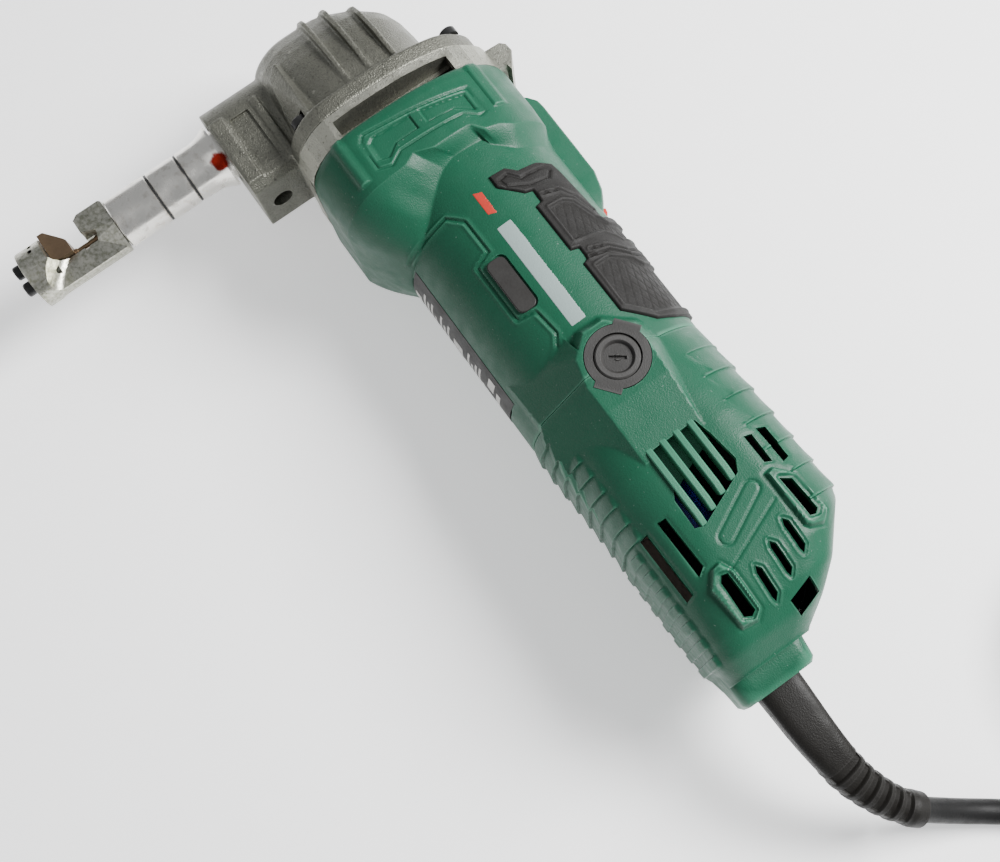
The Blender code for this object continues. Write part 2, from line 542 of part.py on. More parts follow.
def brush_gear(name, side):
    """Carbon brush, its holder, spring, mounting ring and screw cap on one side."""
    up = Matrix.Identity(3) if side > 0 else Matrix.Rotation(math.pi, 3, "X")
    axis = AXIS + Vector((SEAM_X, 0, 0))

    def along(bm):
        bmesh.ops.rotate(bm, matrix=up, verts=bm.verts)
        return bm

    add("carbon_brush_" + name, along(block(-4 * MM, 4 * MM, -2.9 * MM, 2.9 * MM,
                                            11.1 * MM, 24 * MM)), CARBON, axis)
    holder = add("brush_holder_" + name, along(block(-5.4 * MM, 5.4 * MM, -4.3 * MM, 4.3 * MM,
                                                     14 * MM, 32 * MM)), BRASS, axis)
    cut(holder, "holder_slot", along(block(-4.3 * MM, 4.3 * MM, -3.2 * MM, 3.2 * MM,
                                           13 * MM, 33 * MM)), axis)
    spring = bpy.data.curves.new("brush_spring_" + name, "CURVE")
    spring.dimensions = "3D"
    spring.bevel_depth = 0.25 * MM
    spring.bevel_resolution = 2
    spring.use_fill_caps = True
    line = spring.splines.new("POLY")
    turns, steps = 4, 8
    line.points.add(turns * steps)
    for i, point in enumerate(line.points):
        a = 2 * math.pi * i / steps
        height = (24.6 + (31.4 - 24.6) * i / (turns * steps)) * MM
        point.co = (*(up @ Vector((2.2 * MM * math.cos(a), 2.2 * MM * math.sin(a), height))), 1)
    wire = bpy.data.objects.new("brush_spring_" + name, spring)
    wire.location = axis
    spring.materials.append(STEEL)
    PARTS.objects.link(wire)
    ring = add("brush_ring_" + name, along(rod(PORT_R - GAP, 33.3 * MM, 36 * MM, "Z", (0, 0, 0), 28)),
               GREY_PLASTIC, axis)
    cut(ring, "ring_bore", along(rod(7.1 * MM, 32 * MM, 37 * MM, "Z", (0, 0, 0), 24)), axis)
    cap = add("brush_cap_" + name, along(rod(6.7 * MM, 32.4 * MM, HUMP_TOP, "Z", (0, 0, 0), 24)),
              GREY_PLASTIC, axis)
    cut(cap, "cap_slot", along(block(-4 * MM, 4 * MM, -0.6 * MM, 0.6 * MM, 34.6 * MM, 37 * MM)), axis)


# ---------------------------------------------------------------- gear train
def toothed(teeth, phase):
    """Outline of a small spur gear with straight-sided teeth, as (y, z)."""
    pitch = MODULE * teeth / 2
    rows = ((pitch - 1.0 * MODULE, 0.56), (pitch + 0.7 * MODULE, 0.24))
    outline = []
    for i in range(teeth):
        centre = phase + 2 * math.pi * i / teeth
        for (radius, width), sign in ((rows[0], -1), (rows[1], -1), (rows[1], 1), (rows[0], 1)):
            half = sign * width * math.pi * MODULE / 2 / radius
            outline.append((radius * math.cos(centre + half), radius * math.sin(centre + half)))
    return outline


def gear_train():
    pinion = add("pinion", prism(toothed(PINION_TEETH, 0), 24 * MM, 34.5 * MM, "X"), STEEL, AXIS)
    axis = AXIS + Vector((0, GEAR_Y, 0))
    phase = math.pi + math.pi / GEAR_TEETH
    gear = add("drive_gear", prism(toothed(GEAR_TEETH, phase), 25 * MM, 33 * MM, "X"), STEEL, axis)
    cut(gear, "gear_bore", rod(SEAT_R, 24 * MM, 34 * MM, "X", (0, 0, 0), 16), axis)
    pin_y = -STROKE / 2
    shaft = add("eccentric_shaft", rod(SHAFT_R, 24.6 * MM, 40 * MM, "X", (0, 0, 0), 16), STEEL, axis)
    join(shaft, "shaft_tail", rod(3.4 * MM, 12.5 * MM, 26 * MM, "X", (0, 0, 0), 16), axis)
    join(shaft, "rear_web", rod(8 * MM, 37 * MM, 43.5 * MM, "X", (0, 0, 0), 24), axis)
    join(shaft, "crank_pin", rod(CRANK_PIN_R, 42 * MM, 57 * MM, "X", (0, pin_y, 0), 16), axis)
    join(shaft, "front_web", rod(6.5 * MM, 55.8 * MM, 58 * MM, "X", (0, 0, 0), 20), axis)
    join(shaft, "shaft_nose", rod(3.4 * MM, 57 * MM, 63.8 * MM, "X", (0, 0, 0), 16), axis)
    bushing("crank_bearing", CRANK_PIN_R + 0.2 * MM, 5.4 * MM, 44 * MM, 55.3 * MM, "X", BRASS,
            axis + Vector((0, pin_y, 0)), 20)
    bushing("shaft_bush_rear", 3.6 * MM, 4.45 * MM, 12.8 * MM, 20.9 * MM, "X", BRASS, axis, 16)
    bushing("shaft_bush_front", 3.7 * MM, 5.25 * MM, 60.3 * MM, 64.1 * MM, "X", BRASS, axis, 16)


def ram():
    """Scotch yoke and rod that carry the punch; the yoke is wide enough to run free."""
    low = GEAR_Y - STROKE / 2 - 5.4 * MM - GAP - STROKE
    high = GEAR_Y + STROKE / 2 + 5.4 * MM + GAP
    yoke = add("ram", block(-3.5 * MM, 3.5 * MM, low - 3 * MM, high + 3 * MM, -11 * MM, 11 * MM),
               STEEL, ARM)
    cut(yoke, "yoke_window", block(-5 * MM, 5 * MM, low, high, -8.4 * MM, 8.4 * MM), ARM)
    join(yoke, "ram_rod", rod(4 * MM, high + MM, 90 * MM, "Y", (0, 0, 0), 20), ARM)
    turned("punch", [
        (0, PUNCH_TIP), (PUNCH_R, PUNCH_TIP), (PUNCH_R, 95 * MM), (3 * MM, 94 * MM),
        (3 * MM, 90.3 * MM), (0, 90.3 * MM)], "Y", BRONZE, ARM, 16)


# ---------------------------------------------------------------- arm and cutting head
def arm():
    turned("arm_tube", [
        (TUBE_BORE_R, TUBE_END), (TUBE_R - 0.5 * MM, TUBE_END), (TUBE_R, TUBE_END - 0.5 * MM),
        (TUBE_R, 81.6 * MM), (TUBE_R - 0.4 * MM, 81.4 * MM), (TUBE_R - 0.4 * MM, 80.8 * MM),
        (TUBE_R, 80.6 * MM), (TUBE_R, 70.2 * MM), (TUBE_R - 0.4 * MM, 70 * MM),
        (TUBE_R - 0.4 * MM, 69.4 * MM), (TUBE_R, 69.2 * MM), (TUBE_R, 64 * MM),
        (TUBE_R + 0.7 * MM, 60.5 * MM), (TUBE_R + 2.2 * MM, 57.6 * MM), (TUBE_R + 2.2 * MM, BOSS_END + GAP),
        (TUBE_R, BOSS_END + GAP), (TUBE_R, TUBE_START), (TUBE_BORE_R, TUBE_START)],
        "Y", STEEL, ARM, 32, closed=True)
    for name, y0, y1 in (("rear", 38, 50), ("front", 74, 88)):
        bushing("ram_bush_" + name, 4.3 * MM, TUBE_BORE_R - 0.25 * MM, y0 * MM, y1 * MM, "Y", BRASS, ARM, 20)


def die_holder():
    """Round bar with the sheet throat milled into its front."""
    head = turned("die_holder", [
        (0, HEAD_END), (HEAD_R - 0.6 * MM, HEAD_END), (HEAD_R, HEAD_END - 0.6 * MM),
        (HEAD_R, TUBE_END + 0.8 * MM), (HEAD_R - 0.5 * MM, TUBE_END + GAP), (0, TUBE_END + GAP)],
        "Y", PLATED, ARM, 32)
    cut(head, "throat", block(-1.6 * MM, 12 * MM, THROAT_TOP, THROAT_BOTTOM, -12 * MM, 12 * MM), ARM)
    nose = prism([(x * MM, y * MM) for x, y in ((6.6, 109), (13, 109), (13, 98.4))], -12 * MM, 12 * MM)
    cut(head, "nose_taper", nose, ARM)
    spine = [(-12, 96.2), (-1.3, 105.5), (-1.3, 115.6), (-3.8, 118.8), (-7.2, 121.8), (-12, 124.4)]
    for side in (1, -1):
        cut(head, "nose_flat", block(-12 * MM, 12 * MM, 96 * MM, 110 * MM,
                                     side * 5 * MM, side * 12 * MM), ARM)
        z0, z1 = sorted((side * 2.2 * MM, side * 12 * MM))
        cut(head, "spine_flat", prism([(x * MM, y * MM) for x, y in spine], z0, z1), ARM)
    cut(head, "ram_room", rod(3.4 * MM, 96 * MM, 100.5 * MM, "Y", (0, 0, 0), 20), ARM)
    cut(head, "punch_guide", rod(PUNCH_R + 0.25 * MM, 96 * MM, 118 * MM, "Y", (0, 0, 0), 16), ARM)
    for x in (-3.5, 3.5):
        cut(head, "die_screw_hole", rod(1.4 * MM, 120 * MM, 131 * MM, "Y",
                                        (x * MM, 0, 3 * MM), 10), ARM)


def die():
    """Hardened die with a sloping front, held from below by two screws."""
    outline = [(-1.3, 113.4), (3.4, 113.4), (10.2, 118.6), (10.2, 120.7), (-1.3, 120.7)]
    die_block = add("die_block", prism([(x * MM, y * MM) for x, y in outline], -4.6 * MM, 4.6 * MM),
                    BRONZE, ARM)
    cut(die_block, "die_bore", rod(PUNCH_R + 0.15 * MM, 112 * MM, 122 * MM, "Y", (0, 0, 0), 16), ARM)
    for number, x in enumerate((-3.5, 3.5), 1):
        turned("die_screw_%d" % number, [
            (0, 133 * MM), (2.1 * MM, 133 * MM), (2.4 * MM, 132.6 * MM), (2.4 * MM, HEAD_END + GAP),
            (1.1 * MM, HEAD_END + GAP), (1.1 * MM, 121.3 * MM), (0, 121.3 * MM)],
            "Y", BLACK_STEEL, ARM + Vector((x * MM, 0, 3 * MM)), 12)


# ---------------------------------------------------------------- switch and electrics
def switch():
    """Red slide button in the guard, its long rod and the switch unit in the rear."""
    slider = add("switch_slider", block(-46.5 * MM, -30 * MM, -33.8 * MM, -29 * MM,
                                        -4.4 * MM, 4.4 * MM), RED, AXIS)
    for v in slider.data.vertices:
        if v.co.y < -33 * MM:
            v.co.x += 3 * MM if v.co.x < -40 * MM else -3 * MM
    add("switch_unit", block(-152 * MM, -124 * MM, -28 * MM, -12 * MM, -8 * MM, 8 * MM),
        GREY_PLASTIC, AXIS)
    add("suppressor_capacitor", rod(6 * MM, -146 * MM, -124 * MM, "X", (0, 8 * MM, 16 * MM), 20),
        BLUE, AXIS)
    add("wire_tray", block(-160 * MM, -126 * MM, 18 * MM, 26 * MM, 8 * MM, 10 * MM), CREAM, AXIS)


# ---------------------------------------------------------------- cord
def smooth_route(points, count):
    """Evenly spaced points on a Catmull-Rom curve through hand-chosen points."""
    padded = [2 * points[0] - points[1]] + points + [2 * points[-1] - points[-2]]
    dense = []
    for a, b, c, d in zip(padded, padded[1:], padded[2:], padded[3:]):
        for i in range(24):
            t = i / 24
            dense.append(0.5 * ((2 * b) + (c - a) * t + (2 * a - 5 * b + 4 * c - d) * t * t
                                + (3 * b - a - 3 * c + d) * t ** 3))
    dense.append(points[-1])
    lengths = [0.0]
    for p, q in zip(dense, dense[1:]):
        lengths.append(lengths[-1] + (q - p).length)
    spaced, k = [], 0
    for i in range(count):
        want = lengths[-1] * i / (count - 1)
        while k < len(dense) - 2 and lengths[k + 1] < want:
            k += 1
        share = (want - lengths[k]) / max(lengths[k + 1] - lengths[k], 1e-9)
        spaced.append(dense[k].lerp(dense[k + 1], share))
    return spaced


def cord_tube(name, points, count):
    curve = bpy.data.curves.new(name, "CURVE")
    curve.dimensions = "3D"
    curve.bevel_depth = CORD_R
    curve.bevel_resolution = 3
    curve.use_fill_caps = True
    line = curve.splines.new("POLY")
    spaced = smooth_route([Vector(p) * MM for p in points], count)
    line.points.add(count - 1)
    for point, place in zip(line.points, spaced):
        point.co = (*place, 1)
    obj = bpy.data.objects.new(name, curve)
    curve.materials.append(CORD_BLACK)
    PARTS.objects.link(obj)


RELIEF_PATH = [(-188, 15, 36), (-197, 15, 36), (-206, 14.9, 35.2), (-215, 14.2, 33), (-223, 12.8, 29.6),
               (-230, 10.2, 25.8), (-236, 7, 22), (-240.5, 3.6, 18.9), (-243, 1.2, 17.0)]
CORD_ROUTE = [(-243.3, 0.8, 16.7), (-247.5, -4.5, 12.4), (-252.5, -11, 8), (-258, -18.5, 5),
              (-264.5, -27.1, 4.1), (-272, -37.1, 3.9), (-279.5, -47.1, 3.9), (-286.4, -56.3, 3.9)]


LEAD_ROUTE = [(-302.5, -99.5, 27.1), (-304.8, -108, 27.2), (-305.3, -117, 27.6), (-304.6, -125.5, 28.8),
              (-301.4, -132.3, 30.0), (-295.2, -136.7, 30.7)]


def frame_along(points, i):
    """Unit vectors across a path at point i: sideways in the table plane, and upwards."""
    ahead = (points[min(i + 1, len(points) - 1)] - points[max(i - 1, 0)]).normalized()
    sideways = ahead.cross(Vector((0, 0, 1))).normalized()
    return ahead, sideways, sideways.cross(ahead)


def strain_relief():
    """Tapered bend protector: oval in the collar, round and ribbed towards the cord."""
    count = 34
    path = smooth_route([Vector(p) * MM for p in RELIEF_PATH], count)
    rings = []
    sides = 16
    for i, centre in enumerate(path):
        t = i / (count - 1)
        half_w = (7.6 - 2.3 * t) * MM
        half_h = (6.2 - 1.0 * t) * MM
        if t > 0.5 and i % 3 == 0 and i < count - 1:
            half_w -= 0.9 * MM
            half_h -= 0.9 * MM
        _, sideways, upwards = frame_along(path, i)
        power = 0.62 + 0.38 * t
        ring = []
        for k in range(sides):
            a = 2 * math.pi * (k + 0.5) / sides
            c, s = math.cos(a), math.sin(a)
            ring.append(centre + sideways * half_w * math.copysign(abs(c) ** power, c)
                        + upwards * half_h * math.copysign(abs(s) ** power, s))
        rings.append(ring)
    add("strain_relief", loft(rings), CORD_BLACK)


def cord():
    """The lead to the coil, the coiled turns as one ring, and the short end to the plug."""
    cord_tube("cord", CORD_ROUTE, 10)
    cord_tube("cord_end", LEAD_ROUTE, 6)
    inner, outer = COIL_R - COIL_HALF_WIDTH, COIL_R + COIL_HALF_WIDTH
    chamfer = 4 * MM
    base = 0.1 * MM
    coil = turned("cord_coil", [
        (inner + chamfer, COIL_HEIGHT), (outer - chamfer, COIL_HEIGHT), (outer, COIL_HEIGHT - chamfer),
        (outer, base + chamfer), (outer - chamfer, base), (inner + chamfer, base),
        (inner, base + chamfer), (inner, COIL_HEIGHT - chamfer)],
        "Z", CORD_BLACK, COIL_CENTRE, 32, closed=True)
    return coil


def band(half_width, half_height, thickness, depth):
    """A rectangular strap with cut corners around the Y axis; thickness grows outwards."""
    bm = bmesh.new()
    chamfer = 5 * MM
    rings = []
    for grow in (0, thickness):
        w, h, c = half_width + grow, half_height + grow, chamfer + grow * 0.6
        outline = [(w, h - c), (w - c, h), (c - w, h), (-w, h - c), (-w, c - h), (c - w, -h),
                   (w - c, -h), (w, c - h)]
        for y in (-depth / 2, depth / 2):
            rings.append([bm.verts.new((u, y, v)) for u, v in outline])
    inner_a, inner_b, outer_a, outer_b = rings
    for near, far in ((inner_a, inner_b), (inner_b, outer_b), (outer_b, outer_a), (outer_a, inner_a)):
        for i in range(8):
            j = (i + 1) % 8
            bm.faces.new((near[i], near[j], far[j], far[i]))
    return bm


def cord_tie(coil):
    """Strap that cinches the coil, let into the turns so that they lie flat on the table."""
    turn = Matrix.Rotation(TIE_TURN, 3, "Z")
    place = COIL_CENTRE + turn @ Vector((COIL_R, 0, (COIL_HEIGHT + 0.1 * MM) / 2))
    half_w = COIL_HALF_WIDTH - TIE_THICKNESS - 0.2 * MM
    half_h = COIL_HEIGHT / 2 - TIE_THICKNESS - 0.2 * MM

    def placed(bm):
        bmesh.ops.rotate(bm, matrix=turn, verts=bm.verts)
        return bm

    add("cord_tie", placed(band(half_w, half_h, TIE_THICKNESS, TIE_WIDTH)), RED, place, smooth=False)
    cut(coil, "tie_groove", placed(band(half_w - GAP, half_h - GAP, 6 * MM, TIE_WIDTH + 2 * GAP)), place)


def plug():
    """Flat moulded mains plug lying across the coil, with two round pins."""
    turn = Matrix.Rotation(PLUG_TURN, 3, "Z")
    rings = []
    for x, half_width in ((-24, 6), (-10, 9), (0, 15), (12, 17.5), (18, 17.5)):
        angles = (2 * math.pi * (k + 0.5) / 16 for k in range(16))
        rings.append([Vector((x, half_width * max(-1, min(1, 1.15 * math.cos(a))),
                              7.4 * max(-1, min(1, 1.35 * math.sin(a))))) * MM for a in angles])
    shell = loft(rings)
    bmesh.ops.rotate(shell, matrix=turn, verts=shell.verts)
    plug_body = add("plug", shell, CORD_BLACK, PLUG_PLACE)
    for side in (1, -1):
        pin = rod(2.4 * MM, 17 * MM, 37 * MM, "X", (0, side * 9.5 * MM, 0), 12)
        bmesh.ops.rotate(pin, matrix=turn, verts=pin.verts)
        join(plug_body, "plug_pin", pin, PLUG_PLACE)


gear_case()
case_screws()
clamp_screw()
bearing_plate()
motor_housing()
grip_overmould()
plates()
rear_half("rear_cover_left", 1)
rear_half("rear_cover_right", -1)
stator()
armature()
fan()
brush_gear("left", 1)
brush_gear("right", -1)
gear_train()
ram()
arm()
die_holder()
die()
switch()
strain_relief()
cord_tie(cord())
plug()
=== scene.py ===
"""The looks of a corded electric nibbler lying on its side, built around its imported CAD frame.

Shapes are worked out in millimetres from the motor axis: x forward, y along the punching
direction, z towards the tool's left side.  They become metres in the frame when meshed.
"""

import json
import math

import bmesh
import bpy
import numpy as np
from mathutils import Matrix, Vector

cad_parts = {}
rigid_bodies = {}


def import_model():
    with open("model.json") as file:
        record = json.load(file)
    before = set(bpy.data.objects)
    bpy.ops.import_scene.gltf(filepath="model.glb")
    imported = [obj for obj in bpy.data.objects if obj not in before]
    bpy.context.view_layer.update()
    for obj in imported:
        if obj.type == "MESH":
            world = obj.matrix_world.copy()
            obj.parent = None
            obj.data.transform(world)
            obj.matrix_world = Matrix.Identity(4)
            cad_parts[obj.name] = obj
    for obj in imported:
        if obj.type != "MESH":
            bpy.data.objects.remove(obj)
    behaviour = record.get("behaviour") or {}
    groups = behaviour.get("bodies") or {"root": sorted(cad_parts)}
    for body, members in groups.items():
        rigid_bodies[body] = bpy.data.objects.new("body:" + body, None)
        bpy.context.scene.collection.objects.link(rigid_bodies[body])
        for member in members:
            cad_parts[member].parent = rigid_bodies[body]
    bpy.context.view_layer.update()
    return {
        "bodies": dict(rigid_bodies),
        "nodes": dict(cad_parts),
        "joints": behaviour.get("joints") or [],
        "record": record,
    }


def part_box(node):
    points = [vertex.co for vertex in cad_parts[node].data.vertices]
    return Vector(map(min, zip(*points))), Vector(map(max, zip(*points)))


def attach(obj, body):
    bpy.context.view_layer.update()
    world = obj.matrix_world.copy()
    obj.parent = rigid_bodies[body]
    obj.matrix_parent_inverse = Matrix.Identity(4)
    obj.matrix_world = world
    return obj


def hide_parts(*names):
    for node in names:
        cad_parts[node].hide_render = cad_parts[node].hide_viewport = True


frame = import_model()

MM = 0.001
AXIS_HEIGHT = (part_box("armature_shaft")[0][2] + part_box("armature_shaft")[1][2]) / 2
AXIS = Vector((0, 0, AXIS_HEIGHT))
ARM_X = (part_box("arm_tube")[0][0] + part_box("arm_tube")[1][0]) / 2 / MM
SEAM_X = -92.5  # joint between motor housing and rear cover, and centre of the brush caps
GRIP_R = 31.2
TAU = 2 * math.pi


def placed(name, data):
    """An object that shows the data, in the scene."""
    obj = bpy.data.objects.new(name, data)
    bpy.context.scene.collection.objects.link(obj)
    return obj


# ---------------------------------------------------------------- camera, light and floor
CAMERA_PLACE = (-0.1793, 0.0705, 0.4226)
CAMERA_AHEAD = Vector((0.2441, -0.0861, -0.9659))
CAMERA_UPWARDS = Vector((0.7815, -0.5722, 0.2485))
LENS, SENSOR = 46.94, 36
KEY_PLACE, KEY_SIZE, KEY_POWER = (-0.28, -0.66, 0.72), 0.45, 29
FILL_PLACE, FILL_SIZE, FILL_POWER = (-0.2, 0.8, 0.9), 0.9, 1.5
FLOOR_HALF, FLOOR_DROP, FLOOR_GLOW = 3, 0.0002, 0.58
SKY_COLOUR, SKY_STRENGTH = (0.95, 0.97, 1, 1), 0.42


def camera():
    """The camera above the tool's left side."""
    data = bpy.data.cameras.new("camera")
    data.sensor_width = SENSOR
    data.lens = LENS
    data.clip_start = 0.01
    obj = placed("camera", data)
    ahead = CAMERA_AHEAD.normalized()
    right = ahead.cross(CAMERA_UPWARDS).normalized()
    up = right.cross(ahead)
    turn = Matrix((right, up, -ahead)).transposed().to_4x4()
    obj.matrix_world = Matrix.Translation(CAMERA_PLACE) @ turn
    bpy.context.scene.camera = obj


def area_light(name, place, target, size, power):
    """A square light that faces its target."""
    data = bpy.data.lights.new(name, "AREA")
    data.shape = "SQUARE"
    data.size = size
    data.energy = power
    obj = placed(name, data)
    obj.location = place
    obj.rotation_euler = (Vector(target) - Vector(place)).to_track_quat("-Z", "Y").to_euler()


def studio():
    """Soft key and fill light over a pale, faintly glowing paper floor."""
    area_light("key", KEY_PLACE, (-0.02, 0, 0), KEY_SIZE, KEY_POWER)
    area_light("fill", FILL_PLACE, (-0.05, 0, 0), FILL_SIZE, FILL_POWER)
    world = bpy.data.worlds.new("studio")
    bpy.context.scene.world = world
    world.use_nodes = True
    sky = world.node_tree.nodes["Background"].inputs
    sky["Color"].default_value = SKY_COLOUR
    sky["Strength"].default_value = SKY_STRENGTH
    bm = bmesh.new()
    bmesh.ops.create_grid(bm, x_segments=1, y_segments=1, size=FLOOR_HALF)
    mesh = bpy.data.meshes.new("floor")
    bm.to_mesh(mesh)
    bm.free()
    floor = placed("floor", mesh)
    floor.location.z = -FLOOR_DROP
    paper = surface("floor_paper", (0.97, 0.97, 0.97), 0.95, grain=0.02, mottle=0.01, specular=0.1)
    glow = paper.node_tree.nodes["Principled BSDF"].inputs
    glow["Emission Color"].default_value = (1, 1, 1, 1)
    glow["Emission Strength"].default_value = FLOOR_GLOW
    mesh.materials.append(paper)


# ---------------------------------------------------------------- materials
def surface(name, colour, roughness, metallic=0.0, grain=0.1, grain_mm=0.5, mottle=0.12,
            wear=0.0, specular=0.5, rough_spread=0.08, extra=None):
    """A Principled material with fine grain, soft colour variation and optional edge wear."""
    mat = bpy.data.materials.new(name)
    mat.use_nodes = True
    nodes, links = mat.node_tree.nodes, mat.node_tree.links
    shader = nodes["Principled BSDF"]
    shader.inputs["Metallic"].default_value = metallic
    shader.inputs["Specular IOR Level"].default_value = specular
    place = nodes.new("ShaderNodeTexCoord").outputs["Object"]

    def noise(size_mm, detail=3.0):
        node = nodes.new("ShaderNodeTexNoise")
        node.inputs["Scale"].default_value = 1 / (size_mm * MM)
        node.inputs["Detail"].default_value = detail
        links.new(place, node.inputs["Vector"])
        return node.outputs["Fac"]

    def mix(low, high, factor):
        node = nodes.new("ShaderNodeMix")
        node.data_type = "RGBA"
        for socket, value in ((node.inputs["A"], low), (node.inputs["B"], high)):
            if isinstance(value, tuple):
                socket.default_value = (*value, 1)
            else:
                links.new(value, socket)
        if isinstance(factor, float):
            node.inputs["Factor"].default_value = factor
        else:
            links.new(factor, node.inputs["Factor"])
        return node.outputs["Result"]

    def ramp(value, low, high):
        node = nodes.new("ShaderNodeMapRange")
        node.inputs["From Min"].default_value = low
        node.inputs["From Max"].default_value = high
        links.new(value, node.inputs["Value"])
        return node

    def tinted(factor):
        return tuple(min(1.0, c * factor) for c in colour)

    base = mix(tinted(1 - mottle), tinted(1 + mottle), ramp(noise(14, 2), 0.35, 0.65).outputs[0])
    fine = mix(tinted(1 - 1.5 * mottle), tinted(1 + 1.5 * mottle),
               ramp(noise(grain_mm * 1.4, 2), 0.3, 0.7).outputs[0])
    base = mix(base, fine, 0.5)
    if wear:
        edge = nodes.new("ShaderNodeNewGeometry").outputs["Pointiness"]
        worn = ramp(edge, 0.515, 0.56)
        worn.inputs["To Max"].default_value = wear
        base = mix(base, tuple(min(1.0, c * 1.9 + 0.03) for c in colour), worn.outputs[0])
    tools = {"nodes": nodes, "links": links, "place": place, "noise": noise, "mix": mix,
             "ramp": ramp, "shader": shader}
    height = noise(grain_mm, 3)
    if extra:
        base, height = extra(tools, base, height)
    links.new(base, shader.inputs["Base Color"])
    rough = ramp(noise(5, 4), 0.3, 0.7)
    rough.inputs["To Min"].default_value = max(0.05, roughness - rough_spread)
    rough.inputs["To Max"].default_value = min(1, roughness + rough_spread)
    links.new(rough.outputs[0], shader.inputs["Roughness"])
    bump = nodes.new("ShaderNodeBump")
    bump.inputs["Strength"].default_value = grain
    bump.inputs["Distance"].default_value = grain_mm * MM
    links.new(height, bump.inputs["Height"])
    links.new(bump.outputs["Normal"], shader.inputs["Normal"])
    return mat


def turned_rings(tools, base, height):
    """Fine lathe marks around the arm axis, and a dab of red paint beside the boss."""
    nodes, links = tools["nodes"], tools["links"]
    wave = nodes.new("ShaderNodeTexWave")
    wave.bands_direction = "Y"
    wave.inputs["Scale"].default_value = 900
    wave.inputs["Distortion"].default_value = 0.6
    wave.inputs["Detail"].default_value = 3
    links.new(tools["place"], wave.inputs["Vector"])
    shade = tools["mix"](base, (0.5, 0.47, 0.42), tools["ramp"](tools["noise"](2.5, 4), 0.52, 0.8).outputs[0])
    spot = nodes.new("ShaderNodeVectorMath")
    spot.operation = "DISTANCE"
    spot.inputs[1].default_value = ((ARM_X - 6.0) * MM, 58.0 * MM, AXIS_HEIGHT + 8.0 * MM)
    links.new(tools["place"], spot.inputs[0])
    wobble = nodes.new("ShaderNodeMath")
    wobble.operation = "MULTIPLY_ADD"
    links.new(tools["noise"](1.6, 3), wobble.inputs[0])
    wobble.inputs[1].default_value = 2.2 * MM
    links.new(spot.outputs["Value"], wobble.inputs[2])
    paint = tools["ramp"](wobble.outputs[0], 4.5 * MM, 3.7 * MM)
    return tools["mix"](shade, (0.25, 0.018, 0.012), paint.outputs[0]), wave.outputs["Fac"]


def plated_speckle(tools, base, height):
    """Yellowish passivation in blotches over a grey plated ground."""
    blotch = tools["ramp"](tools["noise"](1.1, 5), 0.4, 0.66)
    blotch.inputs["To Max"].default_value = 0.7
    return tools["mix"](base, (0.17, 0.175, 0.12), blotch.outputs[0]), height


def dusty(tools, base, height):
    """Sparse pale dust specks, as handled plastic has."""
    speck = tools["ramp"](tools["noise"](0.9, 1), 0.745, 0.78)
    speck.inputs["To Max"].default_value = 0.12
    return tools["mix"](base, (0.42, 0.5, 0.45), speck.outputs[0]), height


def cast_skin(tools, base, height):
    """Sand-cast mottling with darker pores."""
    pore = tools["ramp"](tools["noise"](0.9, 4), 0.56, 0.7)
    pore.inputs["To Max"].default_value = 0.55
    return tools["mix"](base, (0.045, 0.044, 0.038), pore.outputs[0]), height


def windings(tools, base, height):
    """Wire turns around the coil."""
    nodes, links = tools["nodes"], tools["links"]
    wave = nodes.new("ShaderNodeTexWave")
    wave.bands_direction = "Z"
    wave.inputs["Scale"].default_value = 350
    links.new(tools["place"], wave.inputs["Vector"])
    return base, wave.outputs["Fac"]


GREEN = surface("green_plastic", (0.005, 0.066, 0.034), 0.44, grain=0.22, grain_mm=0.45, mottle=0.07,
                wear=0.9, specular=0.27, extra=dusty)
RUBBER = surface("grip_rubber", (0.0072, 0.0066, 0.006), 0.62, grain=0.35, grain_mm=0.35, mottle=0.15,
                 wear=0.35, specular=0.22)
# Gear case cast, darker than the bearing plate's cast below. Part of this is the cast's own tone, and part is
# painted shade and painted dark reflection for the dome's top.
CAST_WITH_PAINTED_SHADE = surface("cast_aluminium", (0.15, 0.15, 0.125), 0.44, 0.8, grain=0.55, grain_mm=0.55, mottle=0.1,
               wear=0.5, extra=cast_skin)
STEEL = surface("turned_steel", (0.80, 0.78, 0.73), 0.24, 1.0, grain=0.05, grain_mm=0.6, mottle=0.04,
                extra=turned_rings)
BRIGHT = surface("bright_steel", (0.62, 0.61, 0.58), 0.28, 1.0, grain=0.08, mottle=0.06)
PLATED = surface("plated_steel", (0.36, 0.355, 0.31), 0.33, 1.0, grain=0.2, grain_mm=0.4, mottle=0.15,
                 wear=0.4, extra=plated_speckle)
PLATE = surface("bearing_plate_cast", (0.19, 0.19, 0.16), 0.42, 0.85, grain=0.4, grain_mm=0.5, mottle=0.1,
                wear=0.8, extra=cast_skin)
BRONZE = surface("tempered_steel", (0.17, 0.115, 0.07), 0.36, 1.0, grain=0.1, grain_mm=0.4, mottle=0.2,
                 wear=0.4)
BLACK = surface("black_oxide", (0.008, 0.008, 0.008), 0.42, 0.4, grain=0.1, mottle=0.2, wear=0.3)
GREY = surface("dark_grey_plastic", (0.022, 0.021, 0.020), 0.5, grain=0.2, grain_mm=0.4, mottle=0.12,
               wear=0.35, specular=0.4)
RED = surface("red_plastic", (0.58, 0.03, 0.018), 0.4, grain=0.08, grain_mm=0.4, mottle=0.08)
PRINT_RED = surface("red_print", (0.42, 0.022, 0.012), 0.5, grain=0.1, grain_mm=0.5, mottle=0.06)
PRINT_WHITE = surface("white_print", (0.22, 0.28, 0.27), 0.55, grain=0.1, grain_mm=0.5, mottle=0.03)
LABEL = surface("label_foil", (0.02, 0.019, 0.018), 0.5, grain=0.05, mottle=0.15, specular=0.25)
SILVER_PRINT = surface("silver_print", (0.45, 0.44, 0.42), 0.35, 0.6, grain=0.05, mottle=0.1)
COPPER = surface("enamelled_copper", (0.42, 0.15, 0.06), 0.32, 0.9, grain=0.4, grain_mm=0.5, mottle=0.15,
                 extra=windings)
